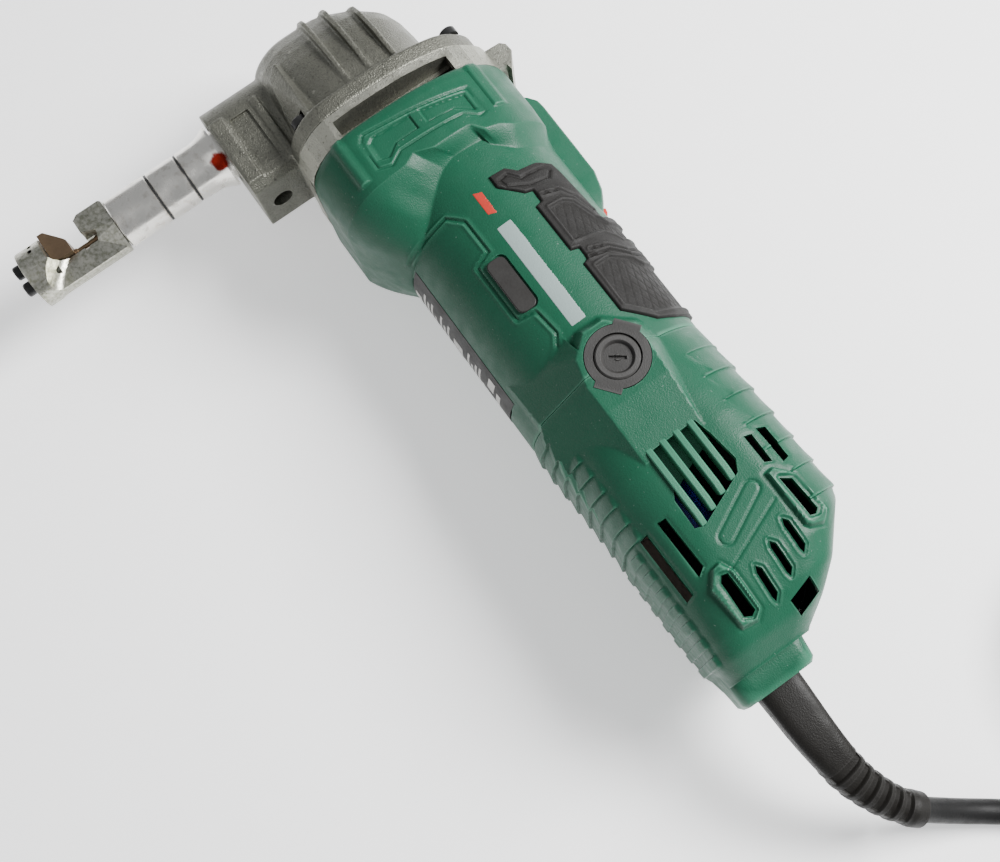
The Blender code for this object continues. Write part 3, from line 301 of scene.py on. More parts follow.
IRON = surface("laminated_iron", (0.25, 0.25, 0.25), 0.5, 0.9, grain=0.3, grain_mm=0.5, mottle=0.15)
CARBON = surface("carbon", (0.03, 0.03, 0.03), 0.7, grain=0.2, mottle=0.2)
BRASS = surface("brass", (0.62, 0.45, 0.17), 0.32, 1.0, grain=0.1, mottle=0.12)
BLUE = surface("capacitor_blue", (0.015, 0.03, 0.28), 0.3, grain=0.05, mottle=0.1)
CREAM = surface("cream_plastic", (0.42, 0.32, 0.27), 0.5, grain=0.1, mottle=0.1)
STRAP = surface("strap_fabric", (0.12, 0.12, 0.125), 0.85, grain=0.6, grain_mm=0.5, mottle=0.25)
CORD_BLACK = surface("cord_sheath", (0.003, 0.003, 0.003), 0.5, grain=0.25, grain_mm=0.5, mottle=0.2,
                     wear=0.2, specular=0.16)
RELIEF_BLACK = surface("relief_rubber", (0.0065, 0.0058, 0.0048), 0.52, grain=0.3, grain_mm=0.45, mottle=0.2,
                       wear=0.3, specular=0.22)


# ---------------------------------------------------------------- mesh helpers
def link(name, mesh, mat, body="root", smooth=50):
    """A piece from a mesh, smooth apart from edges sharper than the angle, riding on a body."""
    obj = placed(name, mesh)
    mesh.materials.clear()
    mesh.materials.append(mat)
    shaded(obj, smooth)
    if body:
        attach(obj, body)
    return obj


def mesh_from(name, points, faces):
    """A mesh from points in millimetres round the motor axis, with its faces turned outwards."""
    world = (np.asarray(points, float).reshape(-1, 3) + (0, 0, AXIS_HEIGHT / MM)) * MM
    mesh = bpy.data.meshes.new(name)
    mesh.from_pydata(world.tolist(), [], faces)
    bm = bmesh.new()
    bm.from_mesh(mesh)
    bmesh.ops.recalc_face_normals(bm, faces=bm.faces)
    bm.to_mesh(mesh)
    bm.free()
    return mesh


def tube_faces(rings, around):
    """Quads between rings of the same number of points, and a face at each end."""
    faces = []
    for i in range(rings - 1):
        for j in range(around):
            k = (j + 1) % around
            faces.append((i * around + j, i * around + k, (i + 1) * around + k, (i + 1) * around + j))
    faces.append(tuple(range(around))[::-1])
    faces.append(tuple(range((rings - 1) * around, rings * around)))
    return faces


def solid(name, grid):
    """A closed piece from rings of points, the first and last closed by a face."""
    return mesh_from(name, grid, tube_faces(grid.shape[0], grid.shape[1]))


def sheet_mesh(name, grid, keep):
    """An open sheet over a grid of points, of the quads that have a corner to keep."""
    rows, cols = grid.shape[:2]
    faces = []
    for i in range(rows - 1):
        for j in range(cols - 1):
            if keep[i:i + 2, j:j + 2].any():
                faces.append((i * cols + j, i * cols + j + 1, (i + 1) * cols + j + 1, (i + 1) * cols + j))
    mesh = mesh_from(name, grid, faces)
    bm = bmesh.new()
    bm.from_mesh(mesh)
    bmesh.ops.delete(bm, geom=[v for v in bm.verts if not v.link_faces], context="VERTS")
    bm.to_mesh(mesh)
    bm.free()
    return mesh


SWEEP = {"X": Matrix(((0, 0, 1), (1, 0, 0), (0, 1, 0))), "Y": Matrix(((0, 1, 0), (0, 0, 1), (1, 0, 0))),
         "Z": Matrix.Identity(3)}


def prism_mesh(name, outline, low, high, axis="Z"):
    """An outline swept along an axis: (y, z) for X, (z, x) for Y and (x, y) for Z."""
    points = [SWEEP[axis] @ Vector((u, v, level)) for level in (low, high) for u, v in outline]
    return mesh_from(name, points, tube_faces(2, len(outline)))


def span(side, near, far):
    """The low and high ends of a stretch between two distances on one side of the middle plane."""
    return sorted((side * near, side * far))


def bevelled(obj, width, segments=3, angle=30):
    """A bevel on the edges sharper than the angle, its width in millimetres."""
    step = obj.modifiers.new("bevel", "BEVEL")
    step.width = width * MM
    step.segments = segments
    step.limit_method = "ANGLE"
    step.angle_limit = math.radians(angle)
    return obj


def block_points(x0, x1, y0, y1):
    """The corners of a rectangle."""
    return [(x0, y0), (x1, y0), (x1, y1), (x0, y1)]


def arc(cx, cy, radius, start, end, steps):
    """Points on an arc between two angles in degrees."""
    angles = np.radians(np.linspace(start, end, steps + 1))
    return [(cx + radius * math.cos(a), cy + radius * math.sin(a)) for a in angles]


def cylinder_mesh(name, radius, low, high, axis, centre=(0, 0, 0), sides=48):
    """A cylinder along an axis, moved by a centre in millimetres."""
    mesh = prism_mesh(name, arc(0, 0, radius, 0, 360 - 360 / sides, sides - 1), low, high, axis)
    mesh.transform(Matrix.Translation(Vector(centre) * MM))
    return mesh


def bake(obj):
    """Replaces the object's mesh by the result of its modifiers."""
    graph = bpy.context.evaluated_depsgraph_get()
    mesh = bpy.data.meshes.new_from_object(obj.evaluated_get(graph))
    obj.modifiers.clear()
    obj.data = mesh
    return obj


def combine(obj, meshes, operation="DIFFERENCE"):
    """Cuts solid meshes from a solid object, or joins them to it."""
    helpers = []
    for mesh in meshes:
        helper = placed("helper", mesh)
        step = obj.modifiers.new("combine", "BOOLEAN")
        step.operation = operation
        step.solver = "MANIFOLD"
        step.object = helper
        helpers.append(helper)
    bake(obj)
    for helper in helpers:
        bpy.data.objects.remove(helper, do_unlink=True)
    return obj


def shaded(obj, angle=50):
    """Smooth shading apart from edges sharper than the angle."""
    obj.data.shade_smooth()
    obj.data.set_sharp_from_angle(angle=math.radians(angle))
    return obj


def mirrored(name, source):
    """A copy on the other side of the tool's middle plane."""
    mesh = source.data.copy()
    flip = Matrix.Translation(AXIS) @ Matrix.Scale(-1, 4, (0, 0, 1)) @ Matrix.Translation(-AXIS)
    mesh.transform(flip)
    mesh.flip_normals()
    obj = placed(name, mesh)
    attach(obj, "root")
    return obj


def lathe(name, profile, mat, body, centre=(ARM_X, 0, 0), axis="Y", sides=96, smooth=35):
    """A turned piece from (radius, height) rows running down its outer side, closed on its axis."""
    rings = lathe_rings(profile, centre, axis, sides)
    return link(name, mesh_from(name, rings, tube_faces(len(rings), sides)), mat, body, smooth)


def lathe_rings(profile, centre, axis, sides):
    """A ring of points round the axis for each (radius, height) row."""
    turn, centre = SWEEP[axis], Vector(centre)
    angles = np.linspace(0, TAU, sides, endpoint=False)
    return [[tuple(turn @ Vector((r * math.cos(a), r * math.sin(a), h)) + centre) for a in angles]
            for r, h in profile]


# ---------------------------------------------------------------- height fields
def ease(distance, width):
    """0 to 1 over width, smoothly, centred where distance is 0."""
    t = np.clip(distance / width + 0.5, 0, 1)
    return t * t * (3 - 2 * t)


def to_line(points, x, y):
    """Distance to an open line through points."""
    best = np.full(x.shape, 1e6)
    for (x0, y0), (x1, y1) in zip(points, points[1:]):
        ex, ey = x1 - x0, y1 - y0
        t = np.clip(((x - x0) * ex + (y - y0) * ey) / (ex * ex + ey * ey), 0, 1)
        best = np.minimum(best, np.hypot(x - x0 - ex * t, y - y0 - ey * t))
    return best


def inside(points, x, y):
    """Distance to a closed outline, positive inside it."""
    loop = list(points) + [points[0]]
    within = np.zeros(x.shape, bool)
    for (x0, y0), (x1, y1) in zip(loop, loop[1:]):
        if y0 != y1:
            within ^= ((y0 > y) != (y1 > y)) & (x < (x1 - x0) * (y - y0) / (y1 - y0) + x0)
    away = to_line(loop, x, y)
    return np.where(within, away, -away)


def groove(distance, width):
    """1 on a line, falling away on both sides of it."""
    return np.exp(-(distance / width) ** 2)


def section_at(rows, x, soften):
    """Section columns y0, y1, half height and corner radius at stations x, eased over soften."""
    rows = np.array(sorted(rows))
    columns = []
    for c in range(1, 5):
        shifts = np.linspace(-soften, soften, 7)
        columns.append(np.mean([np.interp(x + s, rows[:, 0], rows[:, c]) for s in shifts], axis=0))
    return np.array(columns)[:, :, None]


def rounded_distance(y, z, section):
    """Distance to a rounded section, negative inside it."""
    y0, y1, half_z, radius = section
    qy = np.abs(y - (y0 + y1) / 2) - (y1 - y0) / 2 + radius
    qz = np.abs(z) - half_z + radius
    return np.hypot(np.maximum(qy, 0), np.maximum(qz, 0)) + np.minimum(np.maximum(qy, qz), 0) - radius


def ring_grid(section, angles):
    """Points (y, z) where rays at the angles meet each rounded section, and the outward normals."""
    centre = (section[0] + section[1]) / 2
    c, s = np.cos(angles)[None], np.sin(angles)[None]
    low = np.zeros((section.shape[1], len(angles)))
    high = low + 80
    for _ in range(26):
        middle = (low + high) / 2
        outside = rounded_distance(centre + middle * c, middle * s, section) > 0
        high = np.where(outside, middle, high)
        low = np.where(outside, low, middle)
    y, z = centre + low * c, low * s
    step = 0.02
    ny = rounded_distance(y + step, z, section) - rounded_distance(y - step, z, section)
    nz = rounded_distance(y, z + step, section) - rounded_distance(y, z - step, section)
    size = np.hypot(ny, nz)
    return y, z, ny / size, nz / size


ARCH_Y, CREST, ARCH = 12.25, 4.1, 0.0078  # middle of the arch, half its level crest, its curve per mm


def arched(y, z, half_z, share=1.0):
    """z drawn in along the arched sides, on both sides of their level crest."""
    return z - share * ARCH * np.maximum(0, np.abs(y - ARCH_Y) - CREST) ** 2 * z / half_z


# ---------------------------------------------------------------- shared surface features
PORT_R, TUNNEL_R = 9.75, 7.4
HUMP = [(-81, 3.6), (-81.2, -2.8), (-87.2, -8.9), (-94.5, -9.7), (-121.8, -8), (-121.8, 11.8), (-95, 12.2),
        (-86.5, 9.9)]


def hump_height(x, y):
    """Height of the raised pad around a brush cap, sloping down towards the louvres."""
    top = 35.75 - 2.5 * np.clip((-104 - x) / 17, 0, 1)
    slope = np.where(y > 8, 1.0, 1.7)
    return top - slope * np.maximum(0, -inside(HUMP, x, y))


def raised(z, level):
    """z lifted to a level on both sides of the middle plane."""
    return np.where(np.abs(z) > 14, np.sign(z) * np.maximum(np.abs(z), level), z)


def cap_port(side):
    """Well for a brush cap and its ring."""
    return cylinder_mesh("port", PORT_R, *span(side, 32.6, 40), "Z", (SEAM_X, 0, 0))


def brush_tunnel(side):
    """Way for a carbon brush, from its well to the hollow."""
    return cylinder_mesh("tunnel", TUNNEL_R, *span(side, 24, 34), "Z", (SEAM_X, 0, 0))


# ---------------------------------------------------------------- motor housing
# Rows of a section table hold x, the y range, half the height in z and the corner radius.
COLLAR = [(12.4, -31, 39, 35.2, 16), (9.5, -31.6, 40, 36, 16.5), (-6, -31.6, 40, 36, 16.5),
          (-12, -31.2, 40, 36, 16.5), (-40, -31.2, 40, 36, 16.5)]
# x against y where the step down from collar to grip begins and where it ends
STEP_TOP = ((-33, -20, -16, -11, -8, 5, 11, 15, 23, 40),
            (-13, -13, -11.5, -10.8, -7.3, -8, -5.7, -7.8, -8.2, -8.5))
STEP_FOOT = ((-33, -22, -18, -8.2, -7, 6, 11, 15, 19, 27, 40),
             (-20, -19.5, -19, -14.6, -11.9, -11.8, -13.2, -15, -17.3, -21, -27))
PANEL = [(8.2, 20.2), (4.2, -14.6), (-5.6, -14.8), (-6.3, -12.8), (-3.2, -8.4), (-2.8, 13.6), (-5.4, 18.2),
         (-3.8, 22.2), (6.2, 21.8)]
FIELDS = [[(5.9, 18.2), (5.2, 5.2), (0.2, 5.2), (0.2, 13.0), (-2.6, 17.2), (-1.6, 20.2), (4.6, 20.0)],
          [(4.8, 1.6), (2.9, -12.6), (-3.6, -12.6), (-0.2, -7.6), (0.2, 1.6)]]
GRIP_LINE = [(-26, 31), (-25.4, 24), (-25.6, 14.2), (-30.5, 10.3), (-42.5, 10.1), (-44, 15.4), (-64.3, 15.3),
             (-66, 9.7), (-75, 8.8), (-79, 11.5), (-87.4, 24.3), (-88, 31)]


def housing_detail(x, y, z):
    """Height of the fine relief above the plain housing."""
    side = np.abs(z) > 14
    panel = inside(PANEL, x, y)
    h = -0.55 * groove(panel, 0.45)
    h -= 0.25 * ease(panel - 0.9, 0.5)
    for field in FIELDS:
        d = inside(field, x, y)
        h -= 0.65 * ease(d, 0.6) + 0.25 * groove(d, 0.35)
    for y0, y1 in ((-22.4, -18.7), (26.5, 29.6)):
        h += 0.95 * ease(inside(block_points(-5.3, 14, y0, y1), x, y), 0.9)
    d = to_line(GRIP_LINE, x, y)
    h += 0.28 * groove(d - 0.9, 0.5) - 0.42 * groove(d, 0.38)
    h = h * side
    rim = np.clip((x - 11.1) / 1.3, 0, 1)
    end = np.clip((-91.9 - x) / 0.5, 0, 1)
    return h - 1.1 * (1 - np.sqrt(1 - rim * rim)) - 0.3 * end * end


def motor_housing():
    """Collar, grip and hump as one relief, hollowed and cut."""
    x = np.concatenate([np.linspace(12.4, -27, 142), np.linspace(-27.6, -92.4, 100)])
    angles = np.linspace(0, TAU, 380, endpoint=False)
    angles += 0.25 * np.sin(2 * angles)
    collar = section_at(COLLAR, x, 0.8)
    y_a, z_a, ny_a, nz_a = ring_grid(collar, angles)
    z_a = arched(y_a, z_a, collar[2])
    grip = np.array([(-GRIP_R, GRIP_R, GRIP_R, GRIP_R - 0.01)] * len(x)).T[:, :, None]
    y_b, z_b, ny_b, nz_b = ring_grid(grip, angles)
    xs = np.repeat(x[:, None], len(angles), axis=1)
    top, foot = np.interp(y_a, *STEP_TOP), np.interp(y_a, *STEP_FOOT)
    share = np.clip((xs - foot) / (top - foot), 0, 1) ** (1 - 0.3 * ease(y_a - 26, 8))
    share = 0.75 * share + 0.25 * share * share * (3 - 2 * share)
    y, z = y_b + (y_a - y_b) * share, z_b + (z_a - z_b) * share
    h = housing_detail(xs, y, z)
    y += h * (ny_b + (ny_a - ny_b) * share)
    z += h * (nz_b + (nz_a - nz_b) * share)
    z = np.clip(raised(z, np.where(xs < -76, hump_height(xs, y), 0)), -36, 36)
    obj = link("housing_shell", solid("housing_shell", np.dstack([xs, y, z])), GREEN)
    hollow = [(-93, -28.6, 28.6, 28.6, 28.5), (-12.5, -28.6, 28.6, 28.6, 28.5),
              (-5, -28.6, 37, 32.8, 14.5), (13, -29, 37, 32.8, 14.5)]
    hollow_arch = np.array([0, 0, 1, 1])[:, None]
    cuts = [block_loft("hollow", hollow, 64, hollow_arch, start=0),
            prism_mesh("slot", block_points(-5, 5, -48, -22), -38, -25, "Y")]
    for side in (1, -1):
        cuts.append(cap_port(side))
        cuts.append(brush_tunnel(side))
    cuts.append(prism_mesh("badge_well", rounded_outline(-64.9, -45.1, 6.8, 14.2, 2.4), 29.2, 34))
    cuts.append(prism_mesh("plate_well", block_points(-13, 13, -80.9, -27.1), 30.2, 33, "Y"))
    shaded(combine(obj, cuts), 48)
    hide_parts("motor_housing")


def rounded_outline(x0, x1, y0, y1, radius, steps=6):
    """A rectangle with round corners."""
    outline = []
    for cx, cy, start in ((x1 - radius, y1 - radius, 0), (x0 + radius, y1 - radius, 90),
                          (x0 + radius, y0 + radius, 180), (x1 - radius, y0 + radius, 270)):
        outline += arc(cx, cy, radius, start, start + 90, steps)
    return outline


GUARD_BASE = -25.5
GUARD = [(2.8, -30.5, 13), (2.0, -34.4, 9.6), (-0.4, -36.9, 8.2), (-3, -37.2, 8), (-31, -37.0, 8),
         (-38, -34.8, 9), (-42.5, -32, 11.4), (-46.5, -29, 13)]  # x, top, half width


def switch_guard():
    """Raised fairing on the tool's top with the channel that the slide switch runs in."""
    points = []
    for x, top, half in GUARD:
        shoulder = (top + GUARD_BASE * 2) / 3
        right = [(x, GUARD_BASE, -half - 3), (x, shoulder, -half - 1.2), (x, top + 0.5, -half + 1.6),
                 (x, top, -half + 3)]
        points.append(right + [(x, y, -z) for _, y, z in reversed(right)])
    mesh = solid("switch_guard", np.array(points))
    obj = link("switch_guard", mesh, GREEN)
    combine(obj, [prism_mesh("channel", block_points(-5, 5, -50, -22), -38, -20, "Y")])
    shaded(bevelled(obj, 0.9, 3, 20), 60)


# ---------------------------------------------------------------- rubber saddle
SADDLE_EDGE = [(-23.7, -3), (-28.3, -3), (-34.2, -9.1), (-34.6, -11.5), (-38.6, -11.3), (-39.3, -9.0),
               (-57, -9.1), (-57.5, -11.8), (-61.4, -11.7), (-62.2, -9.7), (-80.4, -9.8), (-87.8, -18),
               (-89.2, -24), (-89.4, -40), (-49.4, -40), (-49.4, -25.6), (-31.2, -23.6), (-27.5, -22.7),
               (-25.8, -18.1), (-26.2, -11.7), (-23.6, -8.7)]
WING = [(-26.6, -5), (-26.1, -8.1), (-29.2, -10.8), (-28.4, -19.8), (-30.1, -20.4), (-32.5, -18.3),
        (-32.4, -12), (-29.6, -5.7)]
PADS = [[(-41.8, -12), (-41.2, -17), (-42.5, -20), (-49.5, -23), (-52.7, -26.2), (-53.2, -40),
         (-58.5, -40), (-58.6, -27), (-55, -22), (-54.6, -12)],
        [(-64.7, -12.2), (-63.8, -17.8), (-66.4, -23.3), (-69.2, -28.5), (-69.6, -40), (-86, -40),
         (-86.2, -24), (-85.4, -18.5), (-79.2, -12)]]
UNROLLED = 24.5  # beyond this height the saddle's outlines are measured along the grip's curve
CROSS_LEAN, CROSS_STEP = 1.092, 2.7
BARS = [[(-37, -12.8), (-37.6, -18.5), (-41.2, -21.6), (-47, -23.6)],
        [(-59.4, -14), (-60.2, -19.5), (-63.6, -25), (-64.2, -40)],
        [(-61.6, -12.6), (-62, -19), (-65.6, -25), (-66.4, -40)]]


def rubber_saddle():
    """Overmoulded rubber wrapped over the top of the grip, with sunk pads of crossing grooves."""
    x = np.arange(-21.5, -92, -0.34)
    first = math.radians(1)
    angles = np.linspace(first, math.pi - first, 400)
    xs, an = np.meshgrid(x, angles, indexing="ij")
    arc_y = -GRIP_R * np.sin(an)
    bent = -UNROLLED - GRIP_R * (np.minimum(an, math.pi - an) - math.asin(UNROLLED / GRIP_R))
    y = np.where(arc_y < -UNROLLED, bent, arc_y)
    edge = inside(SADDLE_EDGE, xs, y)
    h = -0.9 + 1.95 * ease(edge - 0.15, 1.0)
    h -= 0.5 * groove(inside(WING, xs, y), 0.42) + 0.2 * ease(inside(WING, xs, y), 0.6)
    around = GRIP_R * np.where(an < math.pi / 2, an, math.pi - an)
    cross = 0
    for lean in (CROSS_LEAN, -CROSS_LEAN):
        across = (xs * math.cos(lean) + around * math.sin(lean)) / CROSS_STEP
        cross = np.maximum(cross, groove((across - np.round(across)) * CROSS_STEP, 0.22))
    for pad in PADS:
        d = inside(pad, xs, y)
        h += 0.3 * groove(d + 0.5, 0.45) - 0.55 * ease(d, 0.6)
        h -= 0.16 * cross * ease(d - 0.8, 0.5)
    for bar in BARS:
        h += 0.35 * groove(to_line(bar, xs, y) - 0.75, 0.33) - 0.45 * groove(to_line(bar, xs, y), 0.4)
    radius = GRIP_R + h
    grid = np.dstack([xs, -radius * np.sin(an), radius * np.cos(an)])
    mesh = sheet_mesh("rubber_saddle", grid, edge > -0.9)
    obj = link("rubber_saddle", mesh, RUBBER, smooth=60)
    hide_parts("grip_overmould")


def markings():
    """Plain stand-ins for the printed marks: one red bar, one pale bar, and blank plates."""
    for name, outline, mat in (
            ("red_mark", [(-25.2, 3.9), (-33.4, 3.9), (-34.6, 1.1), (-26.4, 1.1)], PRINT_RED),
            ("pale_bar", rounded_outline(-76.5, -38.5, -0.9, 4.4, 0.9), PRINT_WHITE)):
        wrap_print(name, outline, mat, 0.06)
    badge = prism_mesh("badge", rounded_outline(-64.4, -45.5, 7.3, 13.7, 2.1), 28.4, 29.9)
    obj = link("badge_insert", badge, LABEL)
    shaded(bevelled(obj, 0.3, 2))
    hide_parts("badge_plate")


def wrap_print(name, outline, mat, lift):
    """A thin print that lies on the left side of the grip."""
    points = np.array(outline)
    x0, y0 = points.min(axis=0)
    x1, y1 = points.max(axis=0)
    xs, ys = np.meshgrid(np.linspace(x0, x1, int((x1 - x0) * 5)), np.linspace(y0, y1, int((y1 - y0) * 5)),
                         indexing="ij")
    d = inside(outline, xs, ys)
    level = np.where(d > 0, lift, -0.3)
    grid = np.dstack([xs, ys, np.sqrt((GRIP_R + level) ** 2 - ys ** 2)])
    link(name, sheet_mesh(name, grid, d > 0), mat, smooth=60)


# ---------------------------------------------------------------- rear cover
COVER = [(-92.6, -31.2, 31.2, 31.2, 31.15), (-105, -31.2, 30.8, 32, 27), (-113, -30.4, 30, 32.6, 23.5),
         (-122, -30, 29.4, 33, 20.5), (-155, -30, 28.8, 33.4, 18.5), (-158.5, -28.3, 28.8, 33.3, 17.5),
         (-163, -24, 28.7, 33, 16), (-171, -16.8, 28.4, 30.5, 13), (-177.5, -8.8, 28.4, 26, 11),
         (-183.5, 0.5, 27.6, 19, 8)]
LOUVRE = [(-119.5, -6.6), (-125, -8.0), (-134.7, -9.2), (-138.2, -7.2), (-144.9, 9.2), (-143.8, 11.9),
          (-134.5, 11.6), (-129.4, 8.6), (-119.5, 8.4)]
BLADES = [(9.0, -144.5), (4.3, -142.4), (-0.35, -140.4), (-5.1, -138.8)]
SIDE_SLOTS = [[(-136.4, 18.9), (-136.7, 16.3), (-153.3, 16), (-155.1, 18.7)],
              [(-137.3, 25.1), (-136.9, 22.6), (-157.7, 22.5), (-158.4, 24.9)],
              [(-131, -14.8), (-131.6, -17.2), (-141.1, -17), (-140.2, -14.9)],
              [(-130.8, -19.4), (-131.8, -22.3), (-142.3, -22.1), (-142.9, -19.7)]]
TAIL_SLOT = [(-161.3, 4.9), (-162.8, 3.7), (-170.4, 3.9), (-172.2, 5.6), (-170.7, 6.0), (-163.1, 5.7)]
TAIL_SLOTS = [[(x + dx, y + dy) for x, y in TAIL_SLOT] for dx, dy in ((0, 0), (3.1, -7.2), (6.0, -13.8))]
VENTS = [([(-142.9, -12.6), (-142.5, -15.3), (-147.4, -20), (-160.4, -20.9), (-163, -17.9), (-161.8, -13.8),
           (-160.3, -12.6)],
          [(-146.1, -15.1), (-148.1, -18.1), (-158.6, -18.7), (-159.6, -17.3), (-159.1, -15.5)]),
         ([(-154.8, 12.2), (-159.1, 10.3), (-171.4, 10.2), (-173.6, 12.6), (-173, 17.6), (-160, 18.6),
           (-155.2, 15)],
          [(-158.2, 14), (-158.7, 12.2), (-170.7, 11.8), (-171.6, 13.4), (-170.5, 15.5), (-159.9, 15.3)])]
POCKET = [(-171.8, -6), (-176.6, -6.7), (-179.1, 1.6), (-174.2, 2.2)]
CORD_COLLAR = [(-191, 3.9, 26.2, 10.4, 3.5), (-189.6, 2.6, 27.4, 11.6, 4), (-180, 1.5, 28.2, 12.5, 4),
               (-176, 1.5, 28, 12.5, 4)]
COVER_WALL, HALF_GAP = 2.5, 0.12
RIB_STEP, LOW_RIB_STEP, TOP_RIB_STEP = 5.62, 5.8, 9.0


def cover_detail(x, y, z):
    """Height of the ribs, frames and fine lines above the plain cover."""
    side = np.abs(z) > 12
    phase = (-97.6 - x) / RIB_STEP
    ribs = ease(y - 24.3, 0.8) * ((x < -94) & (x > -97.6 - 6.98 * RIB_STEP))
    h = 0.95 * (phase - np.floor(phase)) ** 1.3 * ribs
    low_ribs = ease(y - 26.9, 0.7) * ease(-137.5 - x, 3) * ease(x + 178.5, 2)
    h = h + low_ribs * (0.45 + 0.5 * (np.abs(((x + 138) / LOW_RIB_STEP) % 1 - 0.5) < 0.27))
    phase = (-101.5 - x) / TOP_RIB_STEP
    slant = 0.35 * ((x + 101) % TOP_RIB_STEP)
    top_ribs = ease(-y - 20.5 + slant, 1.2) * ease(-101.5 - x, 1) * ease(x + 158, 3)
    h = h + top_ribs * 0.75 * ((phase - np.floor(phase)) ** 2.2 - 0.35)
    mark = np.abs(to_line([(-143.9, -7.4), (-150.7, 6.3)], x, y) - 2.25)
    h = h - side * 0.4 * groove(mark, 0.36)
    h = h - side * 0.35 * groove(to_line([(-149.9, -10.8), (-158.3, 10.2)], x, y), 0.32)
    for frame_line, hole in VENTS:
        d, inner = inside(frame_line, x, y), inside(hole, x, y)
        frame = 1.5 * ease(d - 0.35, 0.85) - 0.25 * groove(d + 0.4, 0.45)
        h = h + side * (frame - 0.8 * ease(inner + 0.8, 0.6))
    for slot in TAIL_SLOTS:
        d = inside(slot, x, y)
        h = h + side * (0.25 * groove(d + 1.0, 0.35) - 0.3 * groove(d + 0.5, 0.4))
    for slot in SIDE_SLOTS:
        h = h - side * 0.25 * groove(inside(slot, x, y) + 0.1, 0.5)
    start = np.clip((x + 93.1) / 0.5, 0, 1)
    return h - 0.3 * start * start


def rear_cover():
    """Both halves of the rear cover: one relief, cut open, then parted on the middle plane."""
    x = np.concatenate([np.linspace(-92.6, -98, 12), np.linspace(-98.4, -183.5, 250)])
    angles = np.linspace(0, TAU, 400, endpoint=False)
    angles += 0.2 * np.sin(2 * angles)
    y, z, ny, nz = ring_grid(section_at(COVER, x, 1.0), angles)
    xs = np.repeat(x[:, None], len(angles), axis=1)
    h = cover_detail(xs, y, z)
    y, z = y + h * ny, z + h * nz
    z = np.clip(raised(z, np.where(xs > -126, hump_height(xs, y), 0)), -35.9, 35.9)
    shell = solid("cover_shell_left", np.dstack([xs, y, z]))
    obj = link("cover_shell_left", shell, GREEN)
    combine(obj, [block_loft("cord_collar", CORD_COLLAR, 48)], "UNION")
    hollow = inset(COVER[1:-1], COVER_WALL, 4)
    hollow = [(-92, -28.7, 28.7, 28.7, 28.65)] + hollow + [(-181, -0.5, 25.5, 19, 7)]
    cuts = [block_loft("hollow", hollow, 64, start=0), cap_port(1), brush_tunnel(1)]
    for outline in [LOUVRE] + SIDE_SLOTS + [hole for _, hole in VENTS] + [POCKET] + TAIL_SLOTS:
        cuts.append(prism_mesh("cut", outline, 8, 40))
    cuts.append(cylinder_mesh("cord_way", 8.0, -192, -178, "X", (0, 15, 0)))
    cuts.append(prism_mesh("half", block_points(-200, -80, -60, 60), -60, HALF_GAP))
    shaded(combine(obj, cuts), 48)
    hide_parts("rear_cover_left")
    other = mirrored("cover_shell_right", obj)
    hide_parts("rear_cover_right")


def cover_lining():
    """Dark grey card inside the right half, behind its vents: painted shade for the hollow seen through the
    openings.
    """
    x = np.linspace(-127, -177, 26)
    section = section_at(inset(COVER, 3.4, 3), x, 1)
    y, z, ny, nz = ring_grid(section, np.linspace(math.pi + 0.3, TAU - 0.3, 60))
    ring_y = np.hstack([y, (y - 0.5 * ny)[:, ::-1]])
    ring_z = np.hstack([z, (z - 0.5 * nz)[:, ::-1]])
    grid = np.dstack([np.repeat(x[:, None], 120, axis=1), ring_y, ring_z])
    # Painted shade: a dark sheet so that the cover's inside looks dark through the vents.
    link("cover_lining", solid("cover_lining", grid), GREY)


def inset(rows, wall, least_radius):
    """Section rows moved inwards by a wall."""
    return [(x, y0 + wall, y1 - wall, half - wall, max(radius - wall, least_radius))
            for x, y0, y1, half, radius in rows]


def block_loft(name, rows, around, arch=0, start=0.01):
    """A solid through rounded sections, its sides arched by a share that may differ from row to row."""
    x = np.array([r[0] for r in rows], float)
    section = section_at(rows, x, 0)
    y, z, _, _ = ring_grid(section, np.linspace(0, TAU, around, endpoint=False) + start)
    z = arched(y, z, section[2], arch)
    return solid(name, np.dstack([np.repeat(x[:, None], around, axis=1), y, z]))


def louvre_blades():
    """Slanted blades across the louvre opening, and the shelf behind their front ends."""
    for side, word in ((1, "left"), (-1, "right")):
        for number, (y, rear) in enumerate(BLADES, 1):
            profile = [(-117, 32.8), (-120, 34.2), (rear + 3.2, 34.3), (rear - 0.3, 33.0), (rear + 0.6, 29.4),
                       (-118, 29.0)]
            points = [(x, y + w, side * z) for w in (-1.0, 1.0) for x, z in profile]
            mesh = mesh_from("blade", points, tube_faces(2, len(profile)))
            obj = link("louvre_blade_%s_%d" % (word, number), mesh, GREEN)
            shaded(bevelled(obj, 0.35, 2), 40)
        outline = [(-117, -6.8), (-125.5, -7.6), (-129.5, 3.5), (-133.5, 11.2), (-117, 11.2)]
        shelf = prism_mesh("shelf", outline, *span(side, 27.2, 29.6))
        link("louvre_shelf_" + word, shelf, GREEN)


def about_cap(outline, turn):
    """An outline turned about a brush cap's middle."""
    c, s = math.cos(turn), math.sin(turn)
    return [(SEAM_X + u * c - v * s, u * s + v * c) for u, v in outline]


